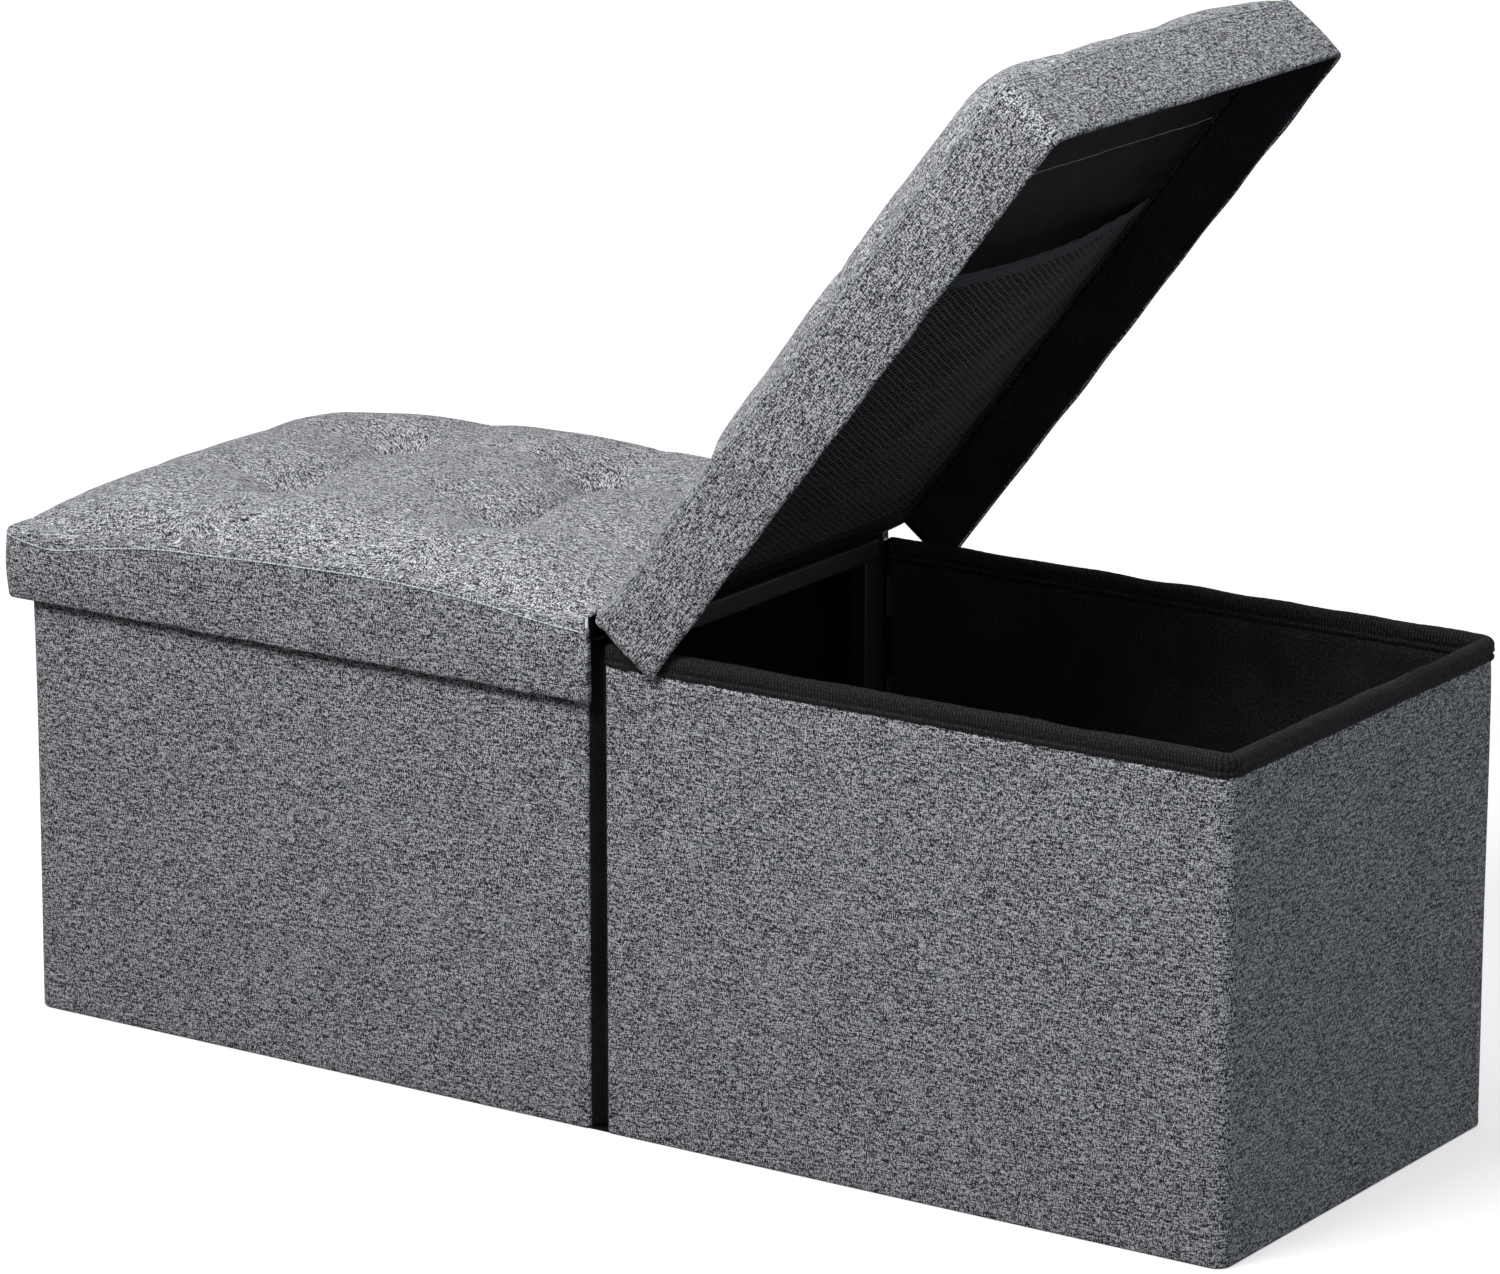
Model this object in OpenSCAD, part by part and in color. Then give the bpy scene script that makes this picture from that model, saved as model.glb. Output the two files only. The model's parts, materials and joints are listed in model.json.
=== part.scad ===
// Folding storage bench. Two fabric-covered box halves, stiffened with fibreboard, are joined
// at the middle by gussets. A padded lid in two halves, hinged across the middle, closes them.
// The origin is on the floor under the lid's hinge line. +X runs along the bench, the front
// is at -Y and +Z is up. Sizes are in millimetres and angles in degrees.

/* [Box] */
// Length of the box, both halves together
box_len = 1066; // [800:2:1300]
// Depth of the box, front to rear
box_dep = 382; // [320:2:460]
// Height of the rim above the floor
box_h = 375; // [300:1:440]
// Gap between the two halves, which the gussets bridge
half_gap = 16; // [10:1:26]
// Inner radius of the rim at the vertical corners
corner_in_r = 2; // [1:0.5:12]

/* [Walls] */
// Thickness of the fibreboard in the walls
board_t = 5; // [3:0.5:7]
// Thickness of the outer fabric
cover_t = 1.5; // [1:0.1:2.2]
// Thickness of the inner lining
liner_t = 1.5; // [1:0.1:2.2]
// Rounding of the walls' upright edges beside the gussets
edge_r = 3; // [2.5:0.5:6]
// Width of the fold line between the two boards of an end wall
fold_gap = 4; // [2:0.5:8]
// How far a gusset folds inwards
gusset_fold = 10; // [4:1:14]
// Thickness of the gusset cloth
gusset_t = 1.5; // [1:0.1:2]

/* [Rim binding] */
// Height of the padded binding round the top of the walls
rim_h = 18; // [14:1:26]
// How far the binding stands out from the wall, on each side
rim_proud = 2; // [1:0.5:3.5]
// Height of the binding's lower, smaller roll
rim_roll_h = 5; // [3:0.5:7]
// Depth of the groove between the two rolls
rim_groove = 1.5; // [0.5:0.5:2.5]

/* [Bottom] */
// Thickness of the cloth under the box
base_t = 1.5; // [1:0.5:3]
// Thickness of the loose floor boards
floor_t = 6; // [4:0.5:9]
// Gap between a floor board and the wall at its end
floor_play = 4; // [3:0.5:8]
// Gap between a floor board and the front wall
finger_gap = 7; // [4:1:20]
// Thickness of the cloth tape that hinges a floor board
tape_t = 0.7; // [0.5:0.1:1.2]
// Width of the hinge tape and of the pull tab
tape_w = 25; // [15:1:40]
// Length of a floor board's pull tab
tab_len = 45; // [30:1:70]
// Thickness of the pull tab
tab_t = 2; // [1:0.5:3]

/* [Support frame] */
// Width of the square steel tube
tube_w = 16; // [12:1:22]
// Wall of the steel tube
tube_wall = 1.2; // [0.8:0.1:2]
// Gap between the frame and a gusset's fold
frame_play = 4.5; // [1:0.5:12]
// Height of the lower cross bar above the floor
bar_h = 34; // [20:1:80]
// Thickness of a foot's sole
foot_t = 5; // [3:0.5:8]
// Length of the plug that holds a foot in its tube
plug_len = 14; // [8:1:25]

/* [Lid] */
// Gap between the rim and the skirt, front and rear
side_play = 2; // [1:0.5:6]
// Gap between the rim and the skirt at the ends
end_play = 10; // [3:1:20]
// Thickness of the lid's skirt
skirt_t = 5; // [3:0.5:8]
// How far the skirt hangs below the rim
skirt_drop = 46; // [25:1:80]
// Outer radius of the lid's corners
lid_corner_r = 12; // [10:0.5:25]
// Thickness of the board in the lid
lid_board_t = 6; // [4:0.5:9]
// Thickness of the lining under the lid
lid_lining_t = 1.2; // [0.8:0.1:2]
// Gap between the two lid halves and the hinge line, each side
hinge_gap = 1; // [0.5:0.1:2]
// How far the lid is open, from closed
lid_open = 52; // [0:1:110]

/* [Padding] */
// Thickness of the padding at the hinge line
pad_edge = 14.4; // [13:0.2:22]
// Rise of the padding above the hinge line
crown = 23; // [10:1:30]
// Thickness of the seat fabric over the foam
seat_cover_t = 1.5; // [1:0.1:2]
// Drop of the skirt's seam below the hinge line, at its ends
seam_drop = 11; // [8:0.5:11]
// Rise of the skirt's seam at its middle
seam_rise = 14; // [4:1:20]
// Depth of the four tufts
tuft_depth = 15; // [5:1:18]
// Radius of a tuft's hollow
tuft_r = 38; // [25:1:50]

/* [Pocket] */
// Distance from the hinge line to the closed end of the pocket
pocket_start = 20; // [12:1:60]
// Length of the mesh, from the closed end to the elastic
pocket_len = 326; // [200:2:420]
// How far the pocket's mouth stands out at the middle
pocket_depth = 16; // [10:1:18]
// Width of the elastic band
band_w = 14; // [8:1:20]
// Thickness of the elastic band
band_t = 2; // [1:0.5:3]
// Thickness of the mesh
mesh_t = 1; // [0.8:0.1:1.5]
// Width of the binding round the pocket
binding_w = 9; // [6:1:14]
// Thickness of the binding
binding_t = 1; // [0.6:0.1:1.5]

/* [Hidden] */
$fn = 48;

grey_linen = "slategray";
black_cloth = "#202124";
fibreboard = "burlywood";
black_steel = "#2b2d30";

seat_gap = 0.3;    // clearance of a soft or loose piece from what carries it
slip = 0.1;        // clearance of a board in the binding that grips it
rest_gap = 0.4;    // clearance of the closed lid above the rim

wall_t = cover_t + board_t + liner_t;
corner_r = corner_in_r + wall_t + rim_proud;
cover_top = box_h - rim_h;
wall_top = box_h - rim_h / 2;
inner_y = box_dep / 2 - wall_t;
inner_x = box_len / 2 - wall_t;
long_board_len = box_len / 2 - corner_r - half_gap / 2 - edge_r;

floor_z = base_t + seat_gap;
floor_top = floor_z + floor_t;
floor_x0 = tube_w / 2 + 6;
floor_x1 = inner_x - floor_play;
floor_hinge_y = inner_y - tape_t - seat_gap;
floor_front_y = finger_gap - inner_y;

gusset_y = box_dep / 2 - edge_r;
frame_y = gusset_y - gusset_fold - gusset_t - frame_play;
frame_top = box_h - seat_gap;
post_y = frame_y - tube_w / 2;
post_z = floor_z + foot_t;

lid_half = box_len / 2 + rim_proud + end_play + skirt_t;
lid_dep = box_dep + 2 * (rim_proud + side_play + skirt_t);
skirt_low = box_h - skirt_drop;
lining_z = box_h + rest_gap;
lid_board_z = lining_z + lid_lining_t;
pad_z = lid_board_z + lid_board_t;
hinge_z = pad_z + pad_edge;
edge_t = 1.2;                          // cloth round the inner edge of a lid half
inner_edge_x = hinge_gap + edge_t;
skirt_lining_t = 0.8;
hinge_dip = 1;                         // the padding's inner edge lies this far below the hinge

pad_inset = skirt_t + seat_gap;
pad_x0 = inner_edge_x + seat_gap;
pad_x1 = lid_half - pad_inset;
pad_y1 = lid_dep / 2 - pad_inset;
pad_r = lid_corner_r - pad_inset;
bead_r = norm([pad_x0, hinge_dip]) - seat_gap;
hinge_roll = 5.6 * crown;              // keeps the padding under 20 degrees from the hinge line
end_roll = 60;
side_roll = 75;

pocket_x1 = pocket_start + pocket_len;
pocket_edge = 2;                       // the binding reaches this far past the mesh
pocket_y = inner_y - rim_proud - seat_gap - pocket_edge;
pocket_z = lining_z - binding_t;

// Moves a right-hand piece to the left
module to_left() { mirror([1, 0, 0]) children(); }

// Moves a front piece to the rear
module to_rear() { mirror([0, 1, 0]) children(); }

// Turns a lid piece about the hinge line, from closed to open
module opened() {
    translate([0, 0, hinge_z]) rotate([0, -lid_open, 0]) translate([0, 0, -hinge_z]) children();
}

// A flat rectangle with round corners, centred
module round_rect(w, d, r) {
    square([w, d - 2 * r], center = true);
    square([w - 2 * r, d], center = true);
    for (x = [-1, 1], y = [-1, 1])
        translate([x * (w / 2 - r), y * (d / 2 - r)]) circle(r = r);
}

// ---- Box walls ----

// Outline of the whole box at a depth below its outer face
module box_plan(inset) {
    round_rect(box_len - 2 * inset, box_dep - 2 * inset, corner_r - inset);
}

// The right half of the wall layer between two depths
module wall_layer(outer, inner) {
    intersection() {
        difference() { box_plan(outer); box_plan(inner); }
        translate([half_gap / 2 + cover_t, -box_dep]) square([box_len, 2 * box_dep]);
    }
}

// The rounded edge with which the cover turns in round the end of a long wall
module cover_return() {
    x = half_gap / 2;
    translate([x + edge_r, -gusset_y]) intersection() {
        difference() { circle(r = edge_r); circle(r = edge_r - cover_t); }
        translate([-edge_r, -edge_r]) square(edge_r);
    }
    translate([x, -gusset_y]) square([cover_t, gusset_y - inner_y - liner_t]);
    translate([x + edge_r, -box_dep / 2]) square([edge_r, cover_t]);
}

module cover() {
    color(grey_linen) {
        linear_extrude(cover_top) difference() {
            wall_layer(0, cover_t);
            translate([half_gap / 2, -box_dep]) square([edge_r, 2 * box_dep]);
        }
        translate([0, 0, base_t]) linear_extrude(cover_top - base_t) {
            cover_return();
            to_rear() cover_return();
        }
    }
}

module liner() {
    color(black_cloth) translate([0, 0, base_t]) linear_extrude(cover_top - base_t)
        wall_layer(wall_t - liner_t, wall_t);
}

// A fibreboard panel standing on its long edge, with its lower corners eased
module wall_board(len) {
    h = wall_top - base_t;
    ease = 3;
    color(fibreboard) rotate([90, 0, 0]) linear_extrude(board_t) difference() {
        square([len, h]);
        for (x = [0, len]) translate([x, 0]) difference() {
            square(2 * ease, center = true);
            translate([x > 0 ? -ease : ease, ease]) circle(r = ease);
        }
    }
}

module long_board() {
    translate([half_gap / 2 + edge_r, board_t + cover_t - box_dep / 2, base_t])
        wall_board(long_board_len);
}

// The front half of the right end wall, which folds inwards along the middle
module end_board() {
    translate([box_len / 2 - cover_t - board_t, corner_r - box_dep / 2, base_t]) rotate([0, 0, 90])
        wall_board(box_dep / 2 - corner_r - fold_gap / 2);
}

// Cloth between the halves: its edges lie on the two covers and its middle folds inwards
module gusset() {
    x = half_gap / 2;
    color(black_cloth) translate([0, -gusset_y, base_t]) linear_extrude(wall_top - base_t)
        polygon([
            [-x, 0], [0, gusset_fold], [x, 0],
            [x, gusset_t], [0, gusset_fold + gusset_t], [-x, gusset_t]
        ]);
}

module base_cloth() {
    color(black_cloth) linear_extrude(base_t) box_plan(cover_t);
}

// ---- Rim binding ----

// Section of the binding: x runs inwards from the wall's outer face and y is the height
module rim_section(gripping) {
    w = wall_t + 2 * rim_proud;
    roll_r = rim_roll_h / 2;
    top_r = w / 2;
    difference() {
        translate([-rim_proud, 0]) {
            // the big upper roll
            translate([w / 2, box_h - top_r]) circle(r = top_r);
            translate([0, cover_top + rim_roll_h]) square([w, rim_h - rim_roll_h - top_r]);
            // the groove and the small lower roll
            translate([rim_groove, cover_top]) square([w - 2 * rim_groove, rim_roll_h + 1]);
            for (x = [roll_r, w - roll_r]) translate([x, cover_top + roll_r]) circle(r = roll_r);
        }
        if (gripping)
            translate([cover_t - slip, 0]) square([board_t + 2 * slip, wall_top + slip]);
    }
}

module rim_corner() {
    translate([box_len / 2 - corner_r, corner_r - box_dep / 2]) rotate([0, 0, -90])
        rotate_extrude(angle = 90) translate([corner_r, 0]) mirror([1, 0]) rim_section(false);
}

module rim_long_run() {
    translate([half_gap / 2, -box_dep / 2, 0]) rotate([90, 0, 90])
        linear_extrude(box_len / 2 - corner_r - half_gap / 2) rim_section(true);
}

module rim_binding() {
    color(black_cloth) {
        rim_long_run();
        to_rear() rim_long_run();
        rim_corner();
        to_rear() rim_corner();
        translate([box_len / 2, 0, 0]) mirror([1, 0, 0]) rotate([90, 0, 0])
            linear_extrude(box_dep - 2 * corner_r, center = true) rim_section(true);
    }
}

// ---- Floor boards ----

module floor_board() {
    len = floor_x1 - floor_x0;
    dep = floor_hinge_y - floor_front_y;
    color(black_cloth) translate([floor_x0 + len / 2, floor_hinge_y - dep / 2, floor_z])
        linear_extrude(floor_t) round_rect(len, dep, 4);
}

// Cloth tape on the rear wall, above the hinge edge of a floor board
module floor_tape() {
    len = floor_x1 - floor_x0 - 30;
    color(black_cloth)
        translate([(floor_x0 + floor_x1 - len) / 2, inner_y - tape_t, floor_top + seat_gap])
            cube([len, tape_t, tape_w]);
}

// Webbing strap sewn to the top of a floor board, with a rounded free end
module floor_tab() {
    color(black_cloth)
        translate([(floor_x0 + floor_x1) / 2, floor_front_y + tab_len / 2 + 4, floor_top])
            linear_extrude(tab_t) round_rect(tape_w, tab_len, 6);
}

// ---- Support frame under the hinge ----

module tube(len) {
    linear_extrude(len) difference() {
        round_rect(tube_w, tube_w, 2);
        round_rect(tube_w - 2 * tube_wall, tube_w - 2 * tube_wall, 1);
    }
}

module frame_post() {
    color(black_steel) translate([0, -post_y, post_z]) tube(frame_top - tube_w - post_z);
}

module frame_top_bar() {
    color(black_steel) translate([0, frame_y, frame_top - tube_w / 2]) rotate([90, 0, 0])
        tube(2 * frame_y);
}

module frame_cross_bar() {
    reach = post_y - tube_w / 2;
    color(black_steel) translate([0, reach, bar_h]) rotate([90, 0, 0]) tube(2 * reach);
}

// A moulded piece with a plug that fits inside a tube and a flange across its end
module tube_plug(flange_w, flange_t) {
    plug_w = tube_w - 2 * tube_wall - 2 * slip;
    translate([0, 0, -flange_t]) linear_extrude(flange_t) round_rect(flange_w, flange_w, 2);
    linear_extrude(plug_len) round_rect(plug_w, plug_w, 1);
}

module frame_feet() {
    color(black_cloth) for (y = [-1, 1])
        translate([0, y * post_y, post_z]) tube_plug(tube_w + 4, foot_t);
}

module frame_end_caps() {
    color(black_cloth) for (y = [-1, 1])
        translate([0, y * frame_y, frame_top - tube_w / 2]) rotate([y * 90, 0, 0])
            tube_plug(tube_w, 2);
}

// ---- Lid: drawn closed, the right half ----

// Outline of a lid half at a depth below its outer face, from x0 outwards
module lid_plan(inset, x0) {
    r = lid_corner_r - inset;
    x1 = lid_half - inset;
    y1 = lid_dep / 2 - inset;
    translate([x0, -y1]) square([x1 - r - x0, 2 * y1]);
    translate([x0, r - y1]) square([x1 - x0, 2 * (y1 - r)]);
    for (y = [-1, 1]) translate([x1 - r, y * (y1 - r)]) circle(r = r);
}

module lid_board() {
    color(fibreboard) translate([0, 0, lid_board_z]) linear_extrude(lid_board_t)
        lid_plan(pad_inset, inner_edge_x);
}

// Lining under the board and down the inside of the skirt
module lid_lining() {
    color(black_cloth) {
        translate([0, 0, lining_z]) linear_extrude(lid_lining_t) lid_plan(skirt_t, inner_edge_x);
        translate([0, 0, skirt_low + 1]) linear_extrude(lining_z - skirt_low - 1) difference() {
            lid_plan(skirt_t, inner_edge_x);
            lid_plan(skirt_t + skirt_lining_t, inner_edge_x - 1);
        }
    }
}

// Height of the seam between the skirt and the seat, which bows up between the corners
function seam_z(x) = hinge_z - seam_drop + seam_rise * (1 - pow(2 * x / lid_half - 1, 2));

module skirt_front() {
    x1 = lid_half - lid_corner_r;
    steps = 16;
    color(grey_linen) translate([0, skirt_t - lid_dep / 2, 0]) rotate([90, 0, 0])
        linear_extrude(skirt_t) polygon(concat(
            [[x1, skirt_low], [hinge_gap, skirt_low]],
            [for (i = [0:steps]) let (x = hinge_gap + (x1 - hinge_gap) * i / steps) [x, seam_z(x)]]
        ));
}

module skirt_end() {
    x0 = lid_half - lid_corner_r;
    color(grey_linen) translate([0, 0, skirt_low]) linear_extrude(seam_z(x0) - skirt_low)
        intersection() {
            difference() { lid_plan(0, inner_edge_x); lid_plan(skirt_t, inner_edge_x - 1); }
            translate([x0, -lid_dep]) square([lid_corner_r, 2 * lid_dep]);
        }
}

// Cloth that closes the inner edge of a lid half, under the hinge
module lid_edge() {
    color(black_cloth) translate([hinge_gap, pad_inset - lid_dep / 2, lining_z])
        cube([edge_t, 2 * pad_y1, hinge_z - hinge_dip - lining_z - 2]);
}

// Cloth bead on which the two halves of the lid turn
module lid_hinge() {
    color(black_cloth) translate([0, 0, hinge_z]) rotate([90, 0, 0])
        cylinder(r = bead_r, h = 2 * pad_y1 - 6, center = true);
}

// ---- Padding: a grid of heights over the plan of a lid half ----

pad_rows = 18;
pad_columns = 16;

// Rises from 0 at an edge to 1 at distance r from it, steeply at first
function roll(d, r, power) = d >= r ? 1 : 1 - pow(1 - max(d, 0) / r, power);

// Depth of the four tufts, at a third and two thirds of the length and the depth
function tufts(x, y) = tuft_depth * [for (i = [1, 2], j = [-1, 1])
    exp(-(pow(x - i * lid_half / 3, 2) + pow(y - j * lid_dep / 6, 2)) / pow(tuft_r, 2))
] * [1, 1, 1, 1];

// Height of the seat: from the seam at its sides and the hinge line at its inner edge
function seat_z(x, y) =
    let (
        seam = seam_z(x),
        side = roll(pad_y1 - abs(y), side_roll, 2.5),
        inner = roll(x - pad_x0, hinge_roll, 2),
        outer = roll(pad_x1 - x, end_roll, 2.5)
    )
    seam + side * ((hinge_z - hinge_dip - seam) * (1 - inner)
        + (hinge_z + crown - seam) * inner * outer) - side * tufts(x, y);

// Outer limit of the padding along x, which follows the round corners
function pad_reach(y) =
    pad_x1 - pad_r + sqrt(pow(pad_r, 2) - pow(max(0, abs(y) - pad_y1 + pad_r), 2));

// The grid's points, lowered by drop and never under the board; closer together at the edges
function pad_points(drop) = [
    for (i = [0:pad_rows], j = [0:pad_columns])
        let (
            y = pad_y1 * sin(180 * j / pad_columns - 90),
            x = pad_x0 + (pad_reach(y) - pad_x0) * (1 - cos(180 * i / pad_rows)) / 2
        )
        [x, y, max(seat_z(x, y) - drop, pad_z + seat_gap + 0.4)]
];

function grid_index(i, j, m) = i * (m + 1) + j;

// Two triangles for each cell of an n by m grid whose points start at first
function grid_faces(n, m, first, up) = [
    for (i = [0:n - 1], j = [0:m - 1], half = [0, 1])
        let (
            a = first + grid_index(i, j, m), b = first + grid_index(i + 1, j, m),
            c = first + grid_index(i + 1, j + 1, m), d = first + grid_index(i, j + 1, m),
            face = half == 0 ? [a, b, c] : [a, c, d]
        )
        up ? [face[2], face[1], face[0]] : face
];

// The grid's border, once round
function grid_border(n, m) = concat(
    [for (i = [0:n - 1]) grid_index(i, 0, m)],
    [for (j = [0:m - 1]) grid_index(n, j, m)],
    [for (i = [n:-1:1]) grid_index(i, m, m)],
    [for (j = [m:-1:1]) grid_index(0, j, m)]
);

// Two triangles for each stretch of a wall between an upper and a lower loop
function wall_faces(upper, lower) = [
    for (k = [0:len(upper) - 1], half = [0, 1])
        let (next = (k + 1) % len(upper))
        half == 0 ? [upper[k], upper[next], lower[next]] : [upper[k], lower[next], lower[k]]
];

// Solid between two grids of points, the first above the second
module sheet_solid(upper, lower, n, m) {
    border = grid_border(n, m);
    count = len(upper);
    polyhedron(
        concat(upper, lower),
        concat(
            grid_faces(n, m, 0, true), grid_faces(n, m, count, false),
            wall_faces(border, [for (k = border) count + k])
        )
    );
}

module foam() {
    upper = pad_points(seat_cover_t + slip);
    color("khaki")
        sheet_solid(upper, [for (p = upper) [p.x, p.y, pad_z + seat_gap]], pad_rows, pad_columns);
}

module seat_cover() {
    lower = pad_points(seat_cover_t);
    color(grey_linen)
        sheet_solid([for (p = lower) p + [0, 0, seat_cover_t]], lower, pad_rows, pad_columns);
}

// ---- Magazine pocket under the right half of the lid ----

// How far the pocket stands off the lining, at a share t of its length and at y
function pocket_bulge(t, y) = pocket_depth * roll(t, 1, 2) * (1 - pow(y / pocket_y, 2));

function pocket_points(drop, n, m) = [
    for (i = [0:n], j = [0:m])
        let (y = pocket_y * (2 * j / m - 1))
        [pocket_start + pocket_len * i / n, y, pocket_z - pocket_bulge(i / n, y) - drop]
];

module pocket_mesh() {
    n = 6;
    m = 12;
    color("dimgray")
        sheet_solid(pocket_points(0, n, m), pocket_points(mesh_t, n, m), n, m);
}

module pocket_band() {
    steps = 24;
    arc = [for (j = [0:steps]) let (y = pocket_y * (2 * j / steps - 1)) [y, -pocket_bulge(1, y)]];
    color("darkslategray") translate([pocket_x1, 0, pocket_z]) rotate([90, 0, 90])
        linear_extrude(band_w)
            polygon(concat(arc, [for (j = [steps:-1:0]) arc[j] - [0, band_t]]));
}

// Binding tape under the mesh's three sewn edges
module pocket_binding() {
    x0 = pocket_start - pocket_edge;
    y1 = pocket_y + pocket_edge;
    color(black_cloth) translate([0, 0, pocket_z]) linear_extrude(binding_t) difference() {
        translate([x0, -y1]) square([pocket_x1 + band_w - x0, 2 * y1]);
        translate([x0 + binding_w, binding_w - y1])
            square([pocket_len + band_w + binding_w, 2 * (y1 - binding_w)]);
    }
}

base_cloth();
to_left() long_board();  // front_board_left
long_board();  // front_board_right
to_left() to_rear() long_board();  // rear_board_left
to_rear() long_board();  // rear_board_right
to_left() end_board();  // end_board_left_front
to_left() to_rear() end_board();  // end_board_left_rear
end_board();  // end_board_right_front
to_rear() end_board();  // end_board_right_rear
to_left() cover();  // cover_left
cover();  // cover_right
to_left() liner();  // liner_left
liner();  // liner_right
gusset();  // gusset_front
to_rear() gusset();  // gusset_rear
to_left() rim_binding();  // rim_binding_left
rim_binding();  // rim_binding_right
frame_post();  // frame_post_front
to_rear() frame_post();  // frame_post_rear
frame_top_bar();
frame_cross_bar();
frame_feet();
frame_end_caps();
to_left() floor_tape();  // floor_tape_left
floor_tape();  // floor_tape_right
to_left() floor_board();  // floor_board_left
floor_board();  // floor_board_right
to_left() floor_tab();  // floor_tab_left
floor_tab();  // floor_tab_right
to_left() lid_board();  // lid_board_left
opened() lid_board();  // lid_board_right
to_left() lid_lining();  // lid_lining_left
opened() lid_lining();  // lid_lining_right
to_left() foam();  // foam_left
opened() foam();  // foam_right
to_left() seat_cover();  // seat_cover_left
opened() seat_cover();  // seat_cover_right
to_left() skirt_front();  // skirt_front_left
opened() skirt_front();  // skirt_front_right
to_left() to_rear() skirt_front();  // skirt_rear_left
opened() to_rear() skirt_front();  // skirt_rear_right
to_left() skirt_end();  // skirt_end_left
opened() skirt_end();  // skirt_end_right
to_left() lid_edge();  // lid_edge_left
opened() lid_edge();  // lid_edge_right
lid_hinge();
opened() pocket_mesh();
opened() pocket_band();
opened() pocket_binding();
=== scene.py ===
import json
import math

import bpy
import numpy as np
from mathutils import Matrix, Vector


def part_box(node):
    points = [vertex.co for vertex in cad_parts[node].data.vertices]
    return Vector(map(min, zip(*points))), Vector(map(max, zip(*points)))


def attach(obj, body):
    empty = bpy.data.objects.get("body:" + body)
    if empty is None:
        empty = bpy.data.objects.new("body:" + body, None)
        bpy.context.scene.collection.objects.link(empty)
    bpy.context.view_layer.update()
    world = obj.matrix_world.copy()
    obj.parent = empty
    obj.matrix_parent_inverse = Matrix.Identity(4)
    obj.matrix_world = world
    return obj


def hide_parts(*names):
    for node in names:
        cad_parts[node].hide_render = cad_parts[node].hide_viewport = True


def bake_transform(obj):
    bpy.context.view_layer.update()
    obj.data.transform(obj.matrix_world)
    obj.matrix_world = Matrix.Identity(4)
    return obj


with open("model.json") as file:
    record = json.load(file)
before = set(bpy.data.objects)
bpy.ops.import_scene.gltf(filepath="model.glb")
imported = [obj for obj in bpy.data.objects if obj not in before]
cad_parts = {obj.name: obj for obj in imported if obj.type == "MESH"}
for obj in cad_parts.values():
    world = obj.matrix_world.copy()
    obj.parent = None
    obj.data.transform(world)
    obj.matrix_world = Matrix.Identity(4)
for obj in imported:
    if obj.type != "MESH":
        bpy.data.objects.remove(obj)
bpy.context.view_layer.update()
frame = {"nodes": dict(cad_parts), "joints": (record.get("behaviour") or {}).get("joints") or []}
print("frame loaded")

mm = 0.001  # everything below is worked out in millimetres


def lowest(node):
    return np.array(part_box(node)[0]) / mm


def highest(node):
    return np.array(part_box(node)[1]) / mm


# places that the frame decides
hinge = next(j for j in frame["joints"] if j["name"] == "lid_hinge_fold")
hingeZ = hinge["pos_m"][2] / mm
restAngle = math.radians(-hinge["range_deg"][0])
liningThick = 1.5
wallX, wallY, coverTop = highest("cover_right")
gapX = lowest("cover_right")[0]
wallThick = wallX - (highest("liner_right")[0] - liningThick)
linerX = lowest("liner_right")[0]
rimTop = highest("rim_binding_right")[2]
lidX = -lowest("skirt_end_left")[0]
lidY = highest("skirt_rear_left")[1]
skirtX = -highest("skirt_front_left")[0]
skirtLow = lowest("skirt_front_left")[2]
lidInnerX = -highest("lid_board_left")[0]
liningZ = lowest("lid_edge_left")[2]
seatX = -highest("foam_left")[0]
boardTop = lowest("foam_left")[2]
skirtThick = 5
lidCorner = 12
wallCorner = 12


# shapes


def meshPiece(name, points, quads, material, place=None):
    # points in millimetres become a smooth mesh; place is the cloth's own coordinates, kept as an attribute
    points = np.asarray(points, float).reshape(-1, 3) * mm
    quads = np.asarray(quads, np.int32).reshape(-1, 4)
    mesh = bpy.data.meshes.new(name)
    mesh.vertices.add(len(points))
    mesh.vertices.foreach_set("co", points.astype(np.float32).ravel())
    mesh.loops.add(quads.size)
    mesh.loops.foreach_set("vertex_index", quads.ravel())
    mesh.polygons.add(len(quads))
    mesh.polygons.foreach_set("loop_start", np.arange(0, quads.size, 4, dtype=np.int32))
    mesh.polygons.foreach_set("use_smooth", np.ones(len(quads), bool))
    mesh.update(calc_edges=True)
    mesh.validate()
    if place is not None:
        attribute = mesh.attributes.new("weaveAt", "FLOAT_VECTOR", "POINT")
        flat = np.asarray(place, float).reshape(-1, 3) * mm
        attribute.data.foreach_set("vector", flat.astype(np.float32).ravel())
    mesh.materials.append(material)
    obj = bpy.data.objects.new(name, mesh)
    bpy.context.scene.collection.objects.link(obj)
    return obj


def gridQuads(rows, columns, closeColumns=False, first=0):
    # one quad for each cell of a rows by columns grid of points, wrapped round where it is closed
    i = np.arange(rows - 1)
    j = np.arange(columns if closeColumns else columns - 1)
    i, j = (a.ravel() for a in np.meshgrid(i, j, indexing="ij"))
    nj = (j + 1) % columns
    corners = [(i, j), (i + 1, j), (i + 1, nj), (i, nj)]
    return first + np.stack([a * columns + b for a, b in corners], 1)


def zipCap(ring, flip):
    # closes a flat ring of point numbers: each point is sewn to the one opposite it
    half = len(ring) // 2
    there, back = ring[:half], ring[::-1][:half]
    quads = np.stack([there[:-1], there[1:], back[1:], back[:-1]], 1)
    return quads[:, ::-1] if flip else quads


def sweepQuads(grid):
    # a tube: closed round its section, with both ends capped
    rows, columns = grid.shape[:2]
    body = gridQuads(rows, columns, closeColumns=True)
    ring = np.arange(columns)
    return np.concatenate([body, zipCap(ring, False), zipCap(ring + (rows - 1) * columns, True)])


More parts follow.
